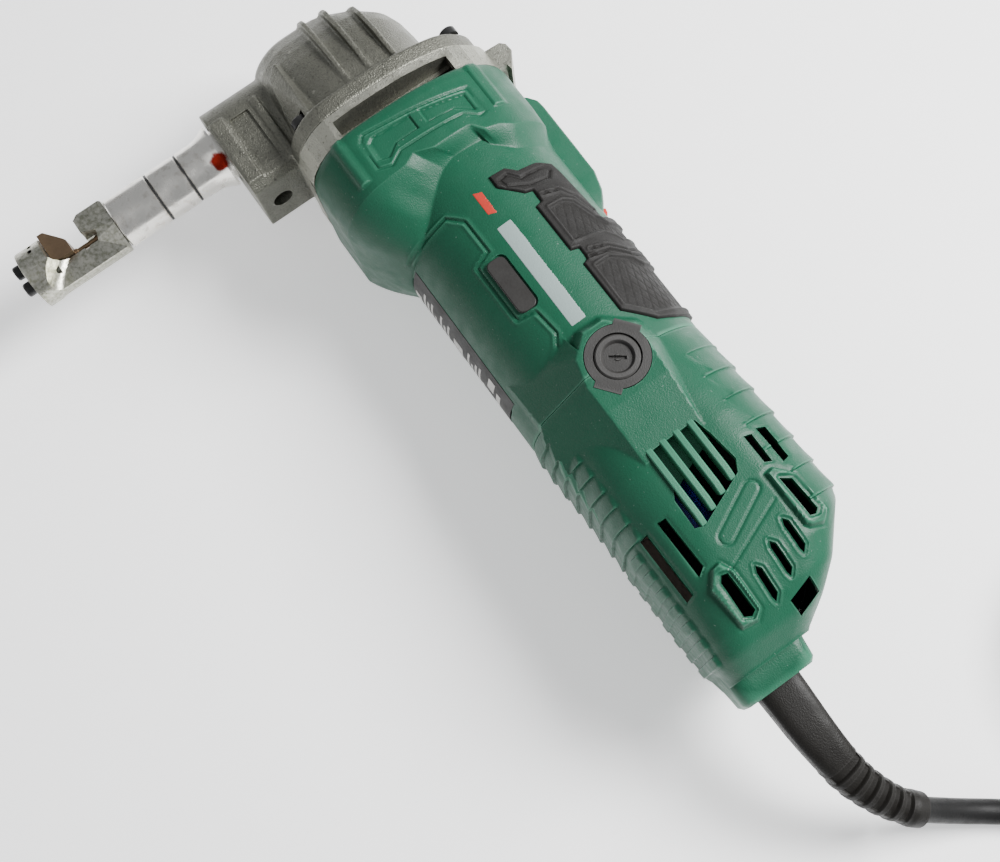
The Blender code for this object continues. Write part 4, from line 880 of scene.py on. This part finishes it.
def brush_caps():
    """Slotted cap in a ring with two locating tabs, on both sides."""
    for side, word in ((1, "left"), (-1, "right")):
        plain = cylinder_mesh("ring", 9.5, *span(side, 33.2, 35.95), "Z", (SEAM_X, 0, 0), 96)
        ring = link("brush_ring_" + word + "_trim", plain, GREY)
        tabs = [about_cap(block_points(7, 10.6, -4, 4), math.radians(turn)) for turn in (128, -52)]
        combine(ring, [prism_mesh("tab", tab, *span(side, 35.2, 35.95)) for tab in tabs], "UNION")
        combine(ring, [cylinder_mesh("hole", 7.0, *span(side, 32.9, 37), "Z", (SEAM_X, 0, 0), 96)])
        shaded(bevelled(ring, 0.3, 2), 40)
        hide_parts("brush_ring_" + word)
        profile = [(0.01, 35.0), (0.9, 35.0), (1.1, 34.7), (4.2, 34.7), (4.6, 35.4), (5.0, 35.75),
                   (6.2, 35.75), (6.7, 35.3), (6.7, 33), (0.01, 33)]
        cap = lathe("brush_screw_" + word, [(r, h if side > 0 else -h) for r, h in profile], GREY, "root",
                    (SEAM_X, 0, 0), "Z", 96, 30)
        slot = about_cap(block_points(-2.6, 2.6, -0.55, 0.55), math.atan2(4, 3))
        combine(cap, [prism_mesh("slot", slot, *span(side, 33.9, 37))])
        shaded(cap, 30)
        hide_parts("brush_cap_" + word)


# ---------------------------------------------------------------- gear head
def remeshed(obj, voxel_mm, rounds):
    """Merges overlapping solids into one soft-edged skin."""
    step = obj.modifiers.new("remesh", "REMESH")
    step.mode = "VOXEL"
    step.voxel_size = voxel_mm * MM
    step.use_smooth_shade = True
    step = obj.modifiers.new("soften", "SMOOTH")
    step.iterations = rounds
    step.factor = 0.5
    return bake(obj)


def hull_mesh(name, points):
    """The convex hull of points in millimetres round the motor axis."""
    bm = bmesh.new()
    for x, y, z in points:
        bm.verts.new((x * MM, y * MM, AXIS_HEIGHT + z * MM))
    bmesh.ops.convex_hull(bm, input=bm.verts)
    mesh = bpy.data.meshes.new(name)
    bm.to_mesh(mesh)
    bm.free()
    return mesh


def boss_outline(radius, rear):
    """(z, x) points of the boss: a flat rear with small chamfers and a round nose about the arm."""
    nose = [(radius * math.sin(a), ARM_X + radius * math.cos(a))
            for a in np.linspace(-math.pi / 2, math.pi / 2, 33)]
    return [(2.6 - radius, rear), (-radius, rear + 2.6)] + nose + [(radius, rear + 2.6), (radius - 2.6, rear)]


DOME = [(26.5, -17.5, 35.2, 31, 20), (34, -17.2, 35.2, 29.6, 20), (40, -17, 35, 28.2, 19),
        (47, -16.4, 35, 26.3, 18), (52, -15, 34.8, 24.2, 17), (57, -10.6, 34.6, 21.3, 15.5),
        (62, -4.5, 34, 17.4, 14), (64.4, -2.5, 33, 14.4, 13), (66, 1.5, 30, 10.2, 10),
        (66.8, 5.5, 26, 6.4, 6.2)]
RIBS = {12.3: [(26, 31.3), (40, 30.4), (50, 28.9), (57, 26.3), (60, 23.6), (62.4, 19.8), (63.9, 15.8),
               (63, 9)],
        4.6: [(26, 31.2), (40, 30.1), (50, 28.2), (57, 25.3), (60, 22.3), (62.2, 18.6), (63.2, 15), (62, 9)],
        -4.0: [(26, 30.6), (40, 29.1), (50, 25.7), (55, 22.2), (57.6, 18.6), (59.2, 14), (59, 9)]}
FLANGE = [(21.7, -29.6, 38.3, 32.8, 13.5), (26.9, -29.6, 38.3, 32.8, 13.5), (27.7, -28.9, 37.6, 32.1, 13)]
CAVITY = [(20, -14.5, 31.5, 24, 16), (40, -13.6, 31.5, 24, 16), (52, -11, 31.5, 19.5, 14),
          (60, -2, 28, 11.5, 9)]
GUSSET = [(53.6, 26.6, 22.4), (53.4, 27.6, 21.8), (26, 28.2, 30.6), (51, 31.2, 19.5), (26, 35.8, 17.5),
          (26, 22, 25), (49, 24, 14), (51, 31, 8), (26, 35, 8)]
CASE_SCREWS = [(-23.5, 19.5), (31.5, 24.5), (-23.5, -19.5), (31.5, -24.5)]
DIE_SCREWS = (-3.5, 3.5)


def gear_case():
    """Cast gear head: flange, dome with three blades, gussets and the boss round the arm."""
    boss = prism_mesh("boss", boss_outline(14.2, 24.4), 28, 55.6, "Y")
    parts = [block_loft("flange", FLANGE, 120, 1), boss]
    for side in (1, -1):
        for y_rib, crest in RIBS.items():
            profile = crest + [(26, 9)]
            points = [(u, y_rib + w, side * v) for w in (-0.85, 0.85) for u, v in profile]
            parts.append(mesh_from("blade", points, tube_faces(2, len(profile))))
        parts.append(hull_mesh("gusset", [(x, y, side * z) for x, y, z in GUSSET]))
        for y_rim, width in ((36.6, 3.2), (49.6, 5.6)):
            rim = [(y_rim, side * 12), (y_rim + width, side * 12), (y_rim + width - 0.4, side * 15.0),
                   (y_rim + 0.4, side * 15.0)]
            parts.append(prism_mesh("boss_rim", rim, 27.2, 52.5, "X"))
    skin = block_loft("gear_case_skin", DOME, 120, 1)
    # The gear case's cast carries painted shade for the dome.
    case = link("gear_case_skin", skin, CAST_WITH_PAINTED_SHADE)
    combine(case, parts, "UNION")
    remeshed(case, 0.42, 5)
    cuts = [block_loft("cavity", CAVITY, 48, 1),
            prism_mesh("yoke_room", block_points(44, 55, 26, 36.6), -12, 12),
            cylinder_mesh("arm_bore", 9.0, 36, 60, "Y", (ARM_X, 0, 0), 96),
            cylinder_mesh("clamp_thread", 3.5, 23, 42, "X", (0, 48, 0), 32)]
    for side in (1, -1):
        panel = rounded_outline(29.9, 50.2, 41.4, 48.4, 0.7)
        cuts.append(prism_mesh("panel", panel, *span(side, 13.2, 18)))
    for y_screw, z_screw in CASE_SCREWS:
        cuts.append(cylinder_mesh("screw_way", 2.2, 20, 28.5, "X", (0, y_screw, z_screw), 24))
        cuts.append(cylinder_mesh("screw_face", 3.7, 27.5, 31.6, "X", (0, y_screw, z_screw), 32))
    cuts.append(cylinder_mesh("face", 40, 55.35, 60, "Y", (ARM_X, 0, 0), 48))
    shaded(combine(case, cuts), 35)
    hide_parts("gear_case")


def screws():
    """Socket screws of the flange, and the pair that holds the die."""
    for number, (y, z) in enumerate(CASE_SCREWS, 1):
        profile = [(0.01, 29.6), (1.5, 29.6), (1.6, 30.6), (2.6, 30.6), (3.0, 30.2), (3.0, 27.8), (1.9, 27.7),
                   (1.9, 17), (0.01, 17)]
        screw = lathe("case_screw_%d_detail" % number, profile, BLACK, "root", (0, y, z), "X", 48, 35)
        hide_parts("case_screw_%d" % number)
    for number, x in enumerate(DIE_SCREWS, 1):
        profile = [(0.01, 131.4), (1.15, 131.4), (1.2, 133), (2.1, 133), (2.4, 132.6), (2.4, 130.3),
                   (1.1, 130.2), (1.1, 121.3), (0.01, 121.3)]
        screw = lathe("die_screw_%d_detail" % number, profile, BLACK, "head", (ARM_X + x, 0, 3), "Y", 48, 35)
        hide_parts("die_screw_%d" % number)


# ---------------------------------------------------------------- arm and cutting head
TUBE_R, HEAD_R = 8.75, 9.9
GROOVES = (81.1, 69.7)
FLAT_Z, SPINE_Z = 5.2, 2.1  # half thickness of the nose and of the milled spine


def arm_tube():
    """Ground tube with two dark index grooves and a flared shoulder at the boss."""
    profile = [(6.6, 97), (TUBE_R - 0.4, 97), (TUBE_R, 96.6)]
    for height in GROOVES:
        profile += [(TUBE_R, height + 0.7), (8.4, height + 0.4), (8.4, height - 0.4), (TUBE_R, height - 0.7)]
    profile += [(TUBE_R, 64.5)]
    profile += [(TUBE_R + 2.2 * t ** 2.2, 64.5 - 7.3 * t) for t in np.linspace(0.1, 1, 12)]
    profile += [(TUBE_R + 2.2, 56.4), (TUBE_R, 56.3), (TUBE_R, 37.5), (6.6, 37.5)]
    tube = link("arm_tube_ground", collar_mesh("arm_tube_ground", profile, 128), STEEL, "head", 30)
    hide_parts("arm_tube")
    for height in GROOVES:
        ring = [(8.42, height + 0.38), (8.46, height + 0.36), (8.46, height - 0.36), (8.42, height - 0.38)]
        name = "index_groove_%d" % round(height)
        link(name, collar_mesh(name, ring, 96), BLACK, "head", 30)


def collar_mesh(name, profile, sides):
    """A turned piece round the arm axis, open in the middle."""
    rings = lathe_rings(profile, (ARM_X, 0, 0), "Y", sides)
    return mesh_from(name, rings, closed_loop_faces(len(rings), sides))


def closed_loop_faces(rings, around):
    """Quads between rings, the last ring joining back to the first."""
    faces = []
    for i in range(rings):
        for j in range(around):
            n, k = (i + 1) % rings, (j + 1) % around
            faces.append((i * around + j, i * around + k, n * around + k, n * around + j))
    return faces


def die_holder():
    """Bar with flats milled on both sides, the throat, the nose and the small pin holes."""
    profile = [(0.01, 130), (9.2, 130), (9.75, 129.8), (HEAD_R, 129.2), (HEAD_R, 98.1), (9.4, 97.4),
               (0.01, 97.4)]
    head = lathe("cutting_head", profile, PLATED, "head", (ARM_X, 0, 0), "Y", 128, 35)
    throat = rounded_outline(-1.6, 14, 108.2, 121, 0.7, 4)
    cuts = [prism_mesh("throat", [(ARM_X + x, y) for x, y in throat], -12, 12),
            prism_mesh("nose", [(ARM_X + x, y) for x, y in ((6.6, 109), (14, 109), (14, 97.8))], -12, 12),
            cylinder_mesh("ram_room", 3.4, 96, 100.5, "Y", (ARM_X, 0, 0), 64),
            cylinder_mesh("punch_guide", 1.45, 96, 118, "Y", (ARM_X, 0, 0), 48)]
    for side in (1, -1):
        cuts.append(prism_mesh("nose_flat", block_points(30, 62, 96, 110), *span(side, FLAT_Z, 12)))
        notch = [(ARM_X + x, y) for x, y in ((-3, 110), (-3, 105.8), (0.2, 103.6), (1.6, 106.4), (2.6, 110))]
        cuts.append(prism_mesh("punch_notch", notch, *span(side, 0.9, 12)))
        facet = [(0.7, 103.6, FLAT_Z), (-1.4, 96.5, FLAT_Z), (-12, 96.2, SPINE_Z), (-1.3, 105.6, SPINE_Z)]
        facet += [(x, y, 12) for x, y, _ in facet]
        cuts.append(hull_mesh("nose_facet", [(ARM_X + x, y, side * z) for x, y, z in facet]))
        scoop = []
        for level, run in ((SPINE_Z, 0), (2.8, 1.5), (4.4, 2.9), (7, 4.1), (10, 4.8), (12, 5)):
            scoop += [(-13, 95.2, level), (-1.3, 105.5, level), (-1.3, 115.4 + run, level),
                      (-3.8, 118.3 + run, level), (-7.2, 121.2 + run, level), (-13, 124.8 + run, level)]
        cuts.append(hull_mesh("spine_mill", [(ARM_X + x, y, side * z) for x, y, z in scoop]))
    for x in DIE_SCREWS:
        cuts.append(cylinder_mesh("screw_way", 1.4, 120, 131, "Y", (ARM_X + x, 0, 3), 24))
    for y, x in ((124.6, 4.2), (124.2, 6.6)):
        cuts.append(cylinder_mesh("pin_hole", 0.75, 4, 12, "Z", (ARM_X + x, y, 0), 20))
    combine(head, cuts)
    bevelled(head, 0.25, 2, 32)
    shaded(head, 40)
    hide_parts("die_holder")


def die_and_punch():
    """Hardened die with a sloping relief-ground front, and the punch that enters it."""
    outline = [(-1.3, 113.4), (3.2, 113.4), (4.2, 113.9), (10.0, 118.4), (10.2, 118.9), (10.2, 120.7),
               (-1.3, 120.7)]
    die = link("die_insert", prism_mesh("die_insert", [(ARM_X + x, y) for x, y in outline], -4.6, 4.6),
               BRONZE, "head")
    combine(die, [cylinder_mesh("bore", 1.35, 112, 122, "Y", (ARM_X, 0, 0), 48)])
    bevelled(die, 0.25, 2)
    shaded(die, 40)
    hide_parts("die_block")
    profile = [(0.01, 115.5), (1.1, 115.5), (1.2, 115.4), (1.2, 112.6), (0.85, 112.2), (0.85, 106),
               (1.2, 105.4), (1.2, 95), (3, 94), (3, 90.3), (0.01, 90.3)]
    punch = lathe("punch_ground", profile, BRONZE, "ram", (ARM_X, 0, 0), "Y", 64, 30)
    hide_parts("punch")


# ---------------------------------------------------------------- cord, strain relief, plug and tie
CORD_LENGTH, CORD_DIAMETER = 3.0, 0.0076
RELIEF_PATH = [(-188, 15, 36), (-197, 15, 36), (-206, 14.9, 35.2), (-215, 14.2, 33), (-223, 12.8, 29.6),
               (-230, 10.2, 25.8), (-236, 7, 22), (-240.5, 3.6, 18.9), (-243, 1.2, 17.0)]
WINDOW_START, WINDOW_STEP, WINDOWS = 0.475, 0.077, 6  # along the relief, as shares of its length
CORD_ROUTE = [(-243.3, 0.8, 16.7), (-247.5, -4.5, 12.4), (-252.5, -11, 8), (-258, -18.5, 5),
              (-264.5, -27.1, 4.1), (-272, -37.1, 3.9), (-279.5, -47.1, 3.9), (-286.4, -56.3, 3.9),
              (-292.5, -64.4, 3.9), (-298.6, -72.6, 3.9)]
LEAD_ROUTE = [(-302.5, -99.5, 27.1), (-304.8, -108, 27.2), (-305.3, -117, 27.6), (-304.6, -125.5, 28.8),
              (-301.4, -132.3, 30.0), (-295.2, -136.7, 30.7)]
COIL_X, COIL_Y, COIL_R = -262, -114, 42.5
OUTER_LANE, LANE_STEP, LAYER_STEP = 54.1, 7.73, 7.62
TIE_TURN = 20
# the turn's angle where a change of lane or layer begins, the angle it takes, lanes in, layers up
CHANGES = [(402, 100, 1, 0), (762, 100, 1, 0), (1122, 100, 1, 0), (1402, 80, 0, 1), (1662, 100, -1, 0),
           (2022, 100, -1, 0), (2382, 100, -1, 0), (2662, 80, 0, 1), (2922, 100, 1, 0), (3282, 100, 1, 0),
           (3540, 68, 0, 1.045), (3610, 120, -0.57, 0)]


def coil_points():
    """Three layers of turns side by side, pinched a little where the tie holds them."""
    angles = np.arange(142, 3758, 6.0)
    lane, layer = np.zeros(len(angles)), np.zeros(len(angles))
    for start, width, inward, up in CHANGES:
        share = ease(angles - start - width / 2, width)
        lane += inward * share
        layer += up * share
    away = (angles - TIE_TURN + 180) % 360 - 180
    pinch = np.exp(-(away / 11) ** 2) * (layer < 2.3)
    radius = OUTER_LANE - lane * LANE_STEP
    radius = COIL_R + (radius - COIL_R) * (1 - 0.115 * pinch)
    height = 3.9 + layer * LAYER_STEP
    height = 11.55 + (height - 11.55) * (1 - 0.17 * pinch)
    c, s = np.cos(np.radians(angles)), np.sin(np.radians(angles))
    return np.column_stack([COIL_X + radius * c, COIL_Y + radius * s, height]).tolist()


def smooth_route(points, step):
    """Points a step apart on a Catmull-Rom curve through the given points, in millimetres."""
    p = np.array(points, float)
    p = np.vstack([2 * p[0] - p[1], p, 2 * p[-1] - p[-2]])
    t = np.linspace(0, 1, 16, endpoint=False)[:, None]
    dense = []
    for a, b, c, d in zip(p, p[1:], p[2:], p[3:]):
        dense.append(0.5 * (2 * b + (c - a) * t + (2 * a - 5 * b + 4 * c - d) * t ** 2
                            + (3 * b - a - 3 * c + d) * t ** 3))
    dense = np.vstack(dense + [p[-2:-1]])
    run = np.concatenate([[0], np.cumsum(np.linalg.norm(np.diff(dense, axis=0), axis=1))])
    places = np.linspace(0, run[-1], int(run[-1] / step) + 1)
    return np.column_stack([np.interp(places, run, dense[:, k]) for k in range(3)])


def cord():
    """The whole lead as one curve, with its coiled turns, from the strain relief to the plug."""
    route = smooth_route(CORD_ROUTE + coil_points() + LEAD_ROUTE, 3.0)
    curve = bpy.data.curves.new("mains_cord", "CURVE")
    curve.dimensions = "3D"
    curve.bevel_depth = CORD_DIAMETER / 2
    curve.bevel_resolution = 4
    curve.use_fill_caps = True
    line = curve.splines.new("POLY")
    line.points.add(len(route) - 1)
    for point, place in zip(line.points, route):
        point.co = (*(place * MM), 1)
    obj = placed("mains_cord", curve)
    curve.materials.append(CORD_BLACK)
    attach(obj, "root")
    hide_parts("cord", "cord_coil", "cord_end")


def swept(name, path, shape):
    """Rings across a path, in millimetres above the table; shape gives (sideways, upwards) points."""
    rings = []
    for i, centre in enumerate(path):
        ahead = path[min(i + 1, len(path) - 1)] - path[max(i - 1, 0)]
        ahead /= np.linalg.norm(ahead)
        side = np.cross(ahead, (0, 0, 1))
        side /= np.linalg.norm(side)
        up = np.cross(side, ahead)
        ring = shape(i / (len(path) - 1))
        rings.append([centre + side * u + up * v - (0, 0, AXIS_HEIGHT / MM) for u, v in ring])
    return solid(name, np.array(rings))


def strain_relief():
    """Bend protector: flat-sided sleeve, then windows cut between ribs down to its end collar."""
    path = smooth_route(RELIEF_PATH, 0.3)
    angles = np.linspace(0, TAU, 56, endpoint=False)
    c, s = np.cos(angles), np.sin(angles)

    def shape(t):
        power = 0.55 + 0.4 * ease(t - 0.55, 0.7)
        end_collar = 0.35 * ease(t - 0.93, 0.04)
        half_w, half_h = 7.6 - 2.6 * t + end_collar, 6.3 - 1.2 * t + end_collar
        u = half_w * np.sign(c) * np.abs(c) ** power
        v = half_h * np.sign(s) * np.abs(s) ** power
        phase = (t - WINDOW_START) / WINDOW_STEP
        window = ease(0.29 - np.abs(phase - np.floor(phase) - 0.3), 0.12) * (0 < phase < WINDOWS)
        reach = ease(0.78 - np.abs(c), 0.1)
        shrink = 1 - 0.24 * window * reach
        shelf = 1 - 0.06 * ease(0.47 - t, 0.03) * ease(np.abs(c) - 0.9, 0.05)
        return list(zip(u * shelf * (1 - 0.05 * window * (1 - reach)), v * shrink))

    sleeve = swept("bend_protector", path, shape)
    obj = link("bend_protector", sleeve, RELIEF_BLACK, smooth=45)
    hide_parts("strain_relief")
    return obj


def moved(mesh, place):
    """The mesh taken from the motor axis to a place of its own."""
    mesh.transform(Matrix.Translation(-AXIS))
    mesh.transform(place)
    return mesh


PLUG_PLACE, PLUG_TURN = (-274.8, -150.9, 30.8), -35


def plug():
    """Moulded mains plug: waisted grip with ribs, rim round its face and two round pins."""
    turn = Matrix.Rotation(math.radians(PLUG_TURN), 4, "Z")
    place = Matrix.Translation(Vector(PLUG_PLACE) * MM) @ turn
    angles = np.linspace(0, TAU, 64, endpoint=False)
    c, s = np.cos(angles), np.sin(angles)
    rows = [(-24, 4.6, 4.6), (-22.5, 5.4, 5.0), (-16, 6.0, 5.2), (-13, 8.6, 6.2), (-8, 9.6, 6.8),
            (-2, 13.2, 7.2), (4, 16.0, 7.35), (10, 17.2, 7.35), (15.2, 17.4, 7.35), (15.6, 16.7, 6.8),
            (16.2, 16.7, 6.8), (16.6, 17.4, 7.35), (17.6, 17.4, 7.35), (18, 17.0, 7.0)]
    table = np.array(rows)
    stations = np.unique(np.concatenate([np.linspace(-24, 15, 66), table[7:, 0]]))
    rings = []
    for x in stations:
        half_w, half_h = np.interp(x, table[:, 0], table[:, 1]), np.interp(x, table[:, 0], table[:, 2])
        power = np.interp(x, (-16, 4), (1, 0.55))
        ribs = 0.5 * max(0, math.sin((x + 8) * TAU / 3.2)) * (-8 < x < 8)
        u = half_w * np.sign(c) * np.abs(c) ** power
        v = (half_h - ribs * (np.abs(s) > 0.6)) * np.sign(s) * np.abs(s) ** power
        rings.append(np.column_stack([np.full(64, x), u, v]))
    mesh = mesh_from("plug_body", np.array(rings), tube_faces(len(rings), 64))
    obj = link("plug_body", moved(mesh, place), CORD_BLACK, smooth=35)
    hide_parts("plug")
    for number, side in enumerate((-9.5, 9.5), 1):
        profile = [(0.01, 37), (1.5, 37), (2.2, 36.2), (2.4, 35.2), (2.4, 25), (2.35, 24.9), (2.35, 17),
                   (0.01, 17)]
        pin = lathe("plug_pin_%d" % number, profile, BRIGHT, None, (0, side, 0), "X", 32, 30)
        moved(pin.data, place)
        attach(pin, "root")
    return obj


STRAP_TOP, STRAP_HALF = 22.15, 5.5


def cord_tie():
    """Fabric strap cinched round the coil, with a lapped end."""
    turn = Matrix.Rotation(math.radians(TIE_TURN), 4, "Z")
    place = Matrix.Translation(Vector((COIL_X, COIL_Y, 0)) * MM) @ turn
    outline = rounded_outline(COIL_R - 14.5, COIL_R + 14.5, 0.95, STRAP_TOP, 5, 8)
    inner = rounded_outline(COIL_R - 13.9, COIL_R + 13.9, 1.55, STRAP_TOP - 0.6, 4.4, 8)
    rings = [[(u, w, v) for u, v in inner] for w in (0.3 - STRAP_HALF, STRAP_HALF - 0.3)]
    rings += [[(u, w, v) for u, v in outline] for w in (STRAP_HALF, -STRAP_HALF)]
    mesh = mesh_from("cord_strap", rings, closed_loop_faces(4, len(outline)))
    obj = link("cord_strap", moved(mesh, place), STRAP, smooth=30)
    lap = [(-9, 0), (8, 0), (8.4, 0.35), (8, 0.7), (-9, 0.7)]
    lap = [(COIL_R + u, STRAP_TOP + v) for u, v in lap]
    mesh = prism_mesh("strap_lap", lap, -STRAP_HALF, STRAP_HALF)
    upright = Matrix.Rotation(math.pi / 2, 4, "X")
    link("strap_lap", moved(mesh, place @ upright), STRAP, smooth=30)
    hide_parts("cord_tie")
    return obj


# ---------------------------------------------------------------- labels, slider, carried-over nodes
FOIL_X, FOIL_HALF, FOIL_LIFT, FOIL_DEPTH = (-80.3, -27.7), 12.0, 0.12, 0.9
BAR_LIFT, BAR_DEPTH = 0.17, 0.12


def underside_label():
    """Dark rating foil on the underside, printed with plain bars only."""
    half = FOIL_HALF / GRIP_R
    xs, an = np.meshgrid(np.linspace(*FOIL_X, 40), np.linspace(-half, half, 30), indexing="ij")
    radii = (GRIP_R + FOIL_LIFT, GRIP_R - FOIL_DEPTH)
    rings = [np.dstack([xs, r * np.cos(an), r * np.sin(an)]) for r in radii]
    front = np.arange(xs.size).reshape(xs.shape)
    back = front + xs.size
    faces = []
    for sheet in (front, back):
        corners = (sheet[:-1, :-1], sheet[1:, :-1], sheet[1:, 1:], sheet[:-1, 1:])
        faces += np.stack([corner.ravel() for corner in corners], axis=1).tolist()
    edge = list(front[:, 0]) + list(front[-1, 1:]) + list(front[-2::-1, -1]) + list(front[0, -2:0:-1])
    for a, b in zip(edge, edge[1:] + edge[:1]):
        faces.append((a, b, b + xs.size, a + xs.size))
    faces = [tuple(int(v) for v in f) for f in faces]
    mesh = mesh_from("rating_foil", np.concatenate([r.reshape(-1, 3) for r in rings]), faces)
    obj = link("rating_foil", mesh, LABEL, smooth=30)
    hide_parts("nameplate")
    radius = GRIP_R + BAR_LIFT
    rows = [(-30.5, 6, 1.6), (-34, 8.5, 0.5), (-36, 7.5, 0.5), (-38, 8.5, 0.5), (-40, 6, 0.5),
            (-43, 8.5, 0.5), (-45, 7, 0.5), (-47, 8.5, 0.5), (-58, 8.5, 0.5), (-60, 6.5, 0.5), (-62, 8, 0.5),
            (-64, 8.5, 0.5), (-66, 5, 0.5), (-74, 8, 1.0)]
    bars = [(x0, -9.5, -9.5 + 2 * w, h) for x0, w, h in rows]
    bars += [(-52.5, -9, -3, 2.4), (-52.5, -1, 5, 2.4), (-70, 3, 9, 1.6)]
    for number, (x0, z0, z1, h) in enumerate(bars, 1):
        angles = np.linspace(z0, z1, 12) / GRIP_R
        xs, an = np.meshgrid((x0 - h, x0 + h), angles, indexing="ij")
        outer = np.dstack([xs, radius * np.cos(an), radius * np.sin(an)])
        inner = np.dstack([xs, (radius - BAR_DEPTH) * np.cos(an), (radius - BAR_DEPTH) * np.sin(an)])
        grid = np.stack([outer[0], outer[1], inner[1], inner[0]], axis=1)
        link("foil_bar_%02d" % number, solid("foil_bar", grid), SILVER_PRINT, smooth=30)


SLIDER_TOP, SLIDER_FOOT, SLIDER_GROOVE = -32.3, -29, 0.7


def slider():
    """Red slide button with grooves across its top."""
    profile = [(-46.5, SLIDER_FOOT), (-46.5, -30.6), (-44.6, -32.0), (-43.4, SLIDER_TOP)]
    low = SLIDER_TOP + SLIDER_GROOVE
    for x in np.arange(-43.0, -34.4, 1.7):
        profile += [(x, SLIDER_TOP), (x + 0.35, low), (x + 0.75, low), (x + 1.1, SLIDER_TOP)]
    profile += [(-33.2, SLIDER_TOP), (-31.8, -31.8), (-30, -30.4), (-30, SLIDER_FOOT)]
    obj = link("slide_button", prism_mesh("slide_button", profile, -4.4, 4.4), RED, "switch")
    bevelled(obj, 0.2, 2, 25)
    shaded(obj, 40)
    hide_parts("switch_slider")


FINISHES = [
    (PLATE, "bearing_plate"), (BLACK, "clamp_screw"), (IRON, "stator_core armature_core"),
    (COPPER, "field_coil_upper field_coil_lower winding_front winding_rear commutator"),
    (BRIGHT, "armature_shaft front_bearing rear_bearing pinion drive_gear eccentric_shaft ram"),
    (BRIGHT, "brush_spring_left brush_spring_right"), (GREY, "fan fan_baffle switch_unit"),
    (BRASS, "crank_bearing shaft_bush_rear shaft_bush_front ram_bush_rear ram_bush_front"),
    (BRASS, "brush_holder_left brush_holder_right"), (BLUE, "suppressor_capacitor"),
    (CREAM, "wire_tray"), (CARBON, "carbon_brush_left carbon_brush_right")]


def carried_over():
    """New finishes for the CAD nodes that stay, and soft edges on the cast bearing plate."""
    for mat, names in FINISHES:
        for name in names.split():
            node = bpy.data.objects[name]
            node.data.materials.clear()
            node.data.materials.append(mat)
    bevelled(bpy.data.objects["bearing_plate"], 0.6, 3, 35)


camera()
protector, plug_piece, strap = strain_relief(), plug(), cord_tie()
cord()
studio()
motor_housing()
switch_guard()
rubber_saddle()
markings()
underside_label()
slider()
rear_cover()
cover_lining()
louvre_blades()
brush_caps()
gear_case()
screws()
arm_tube()
die_holder()
die_and_punch()
carried_over()
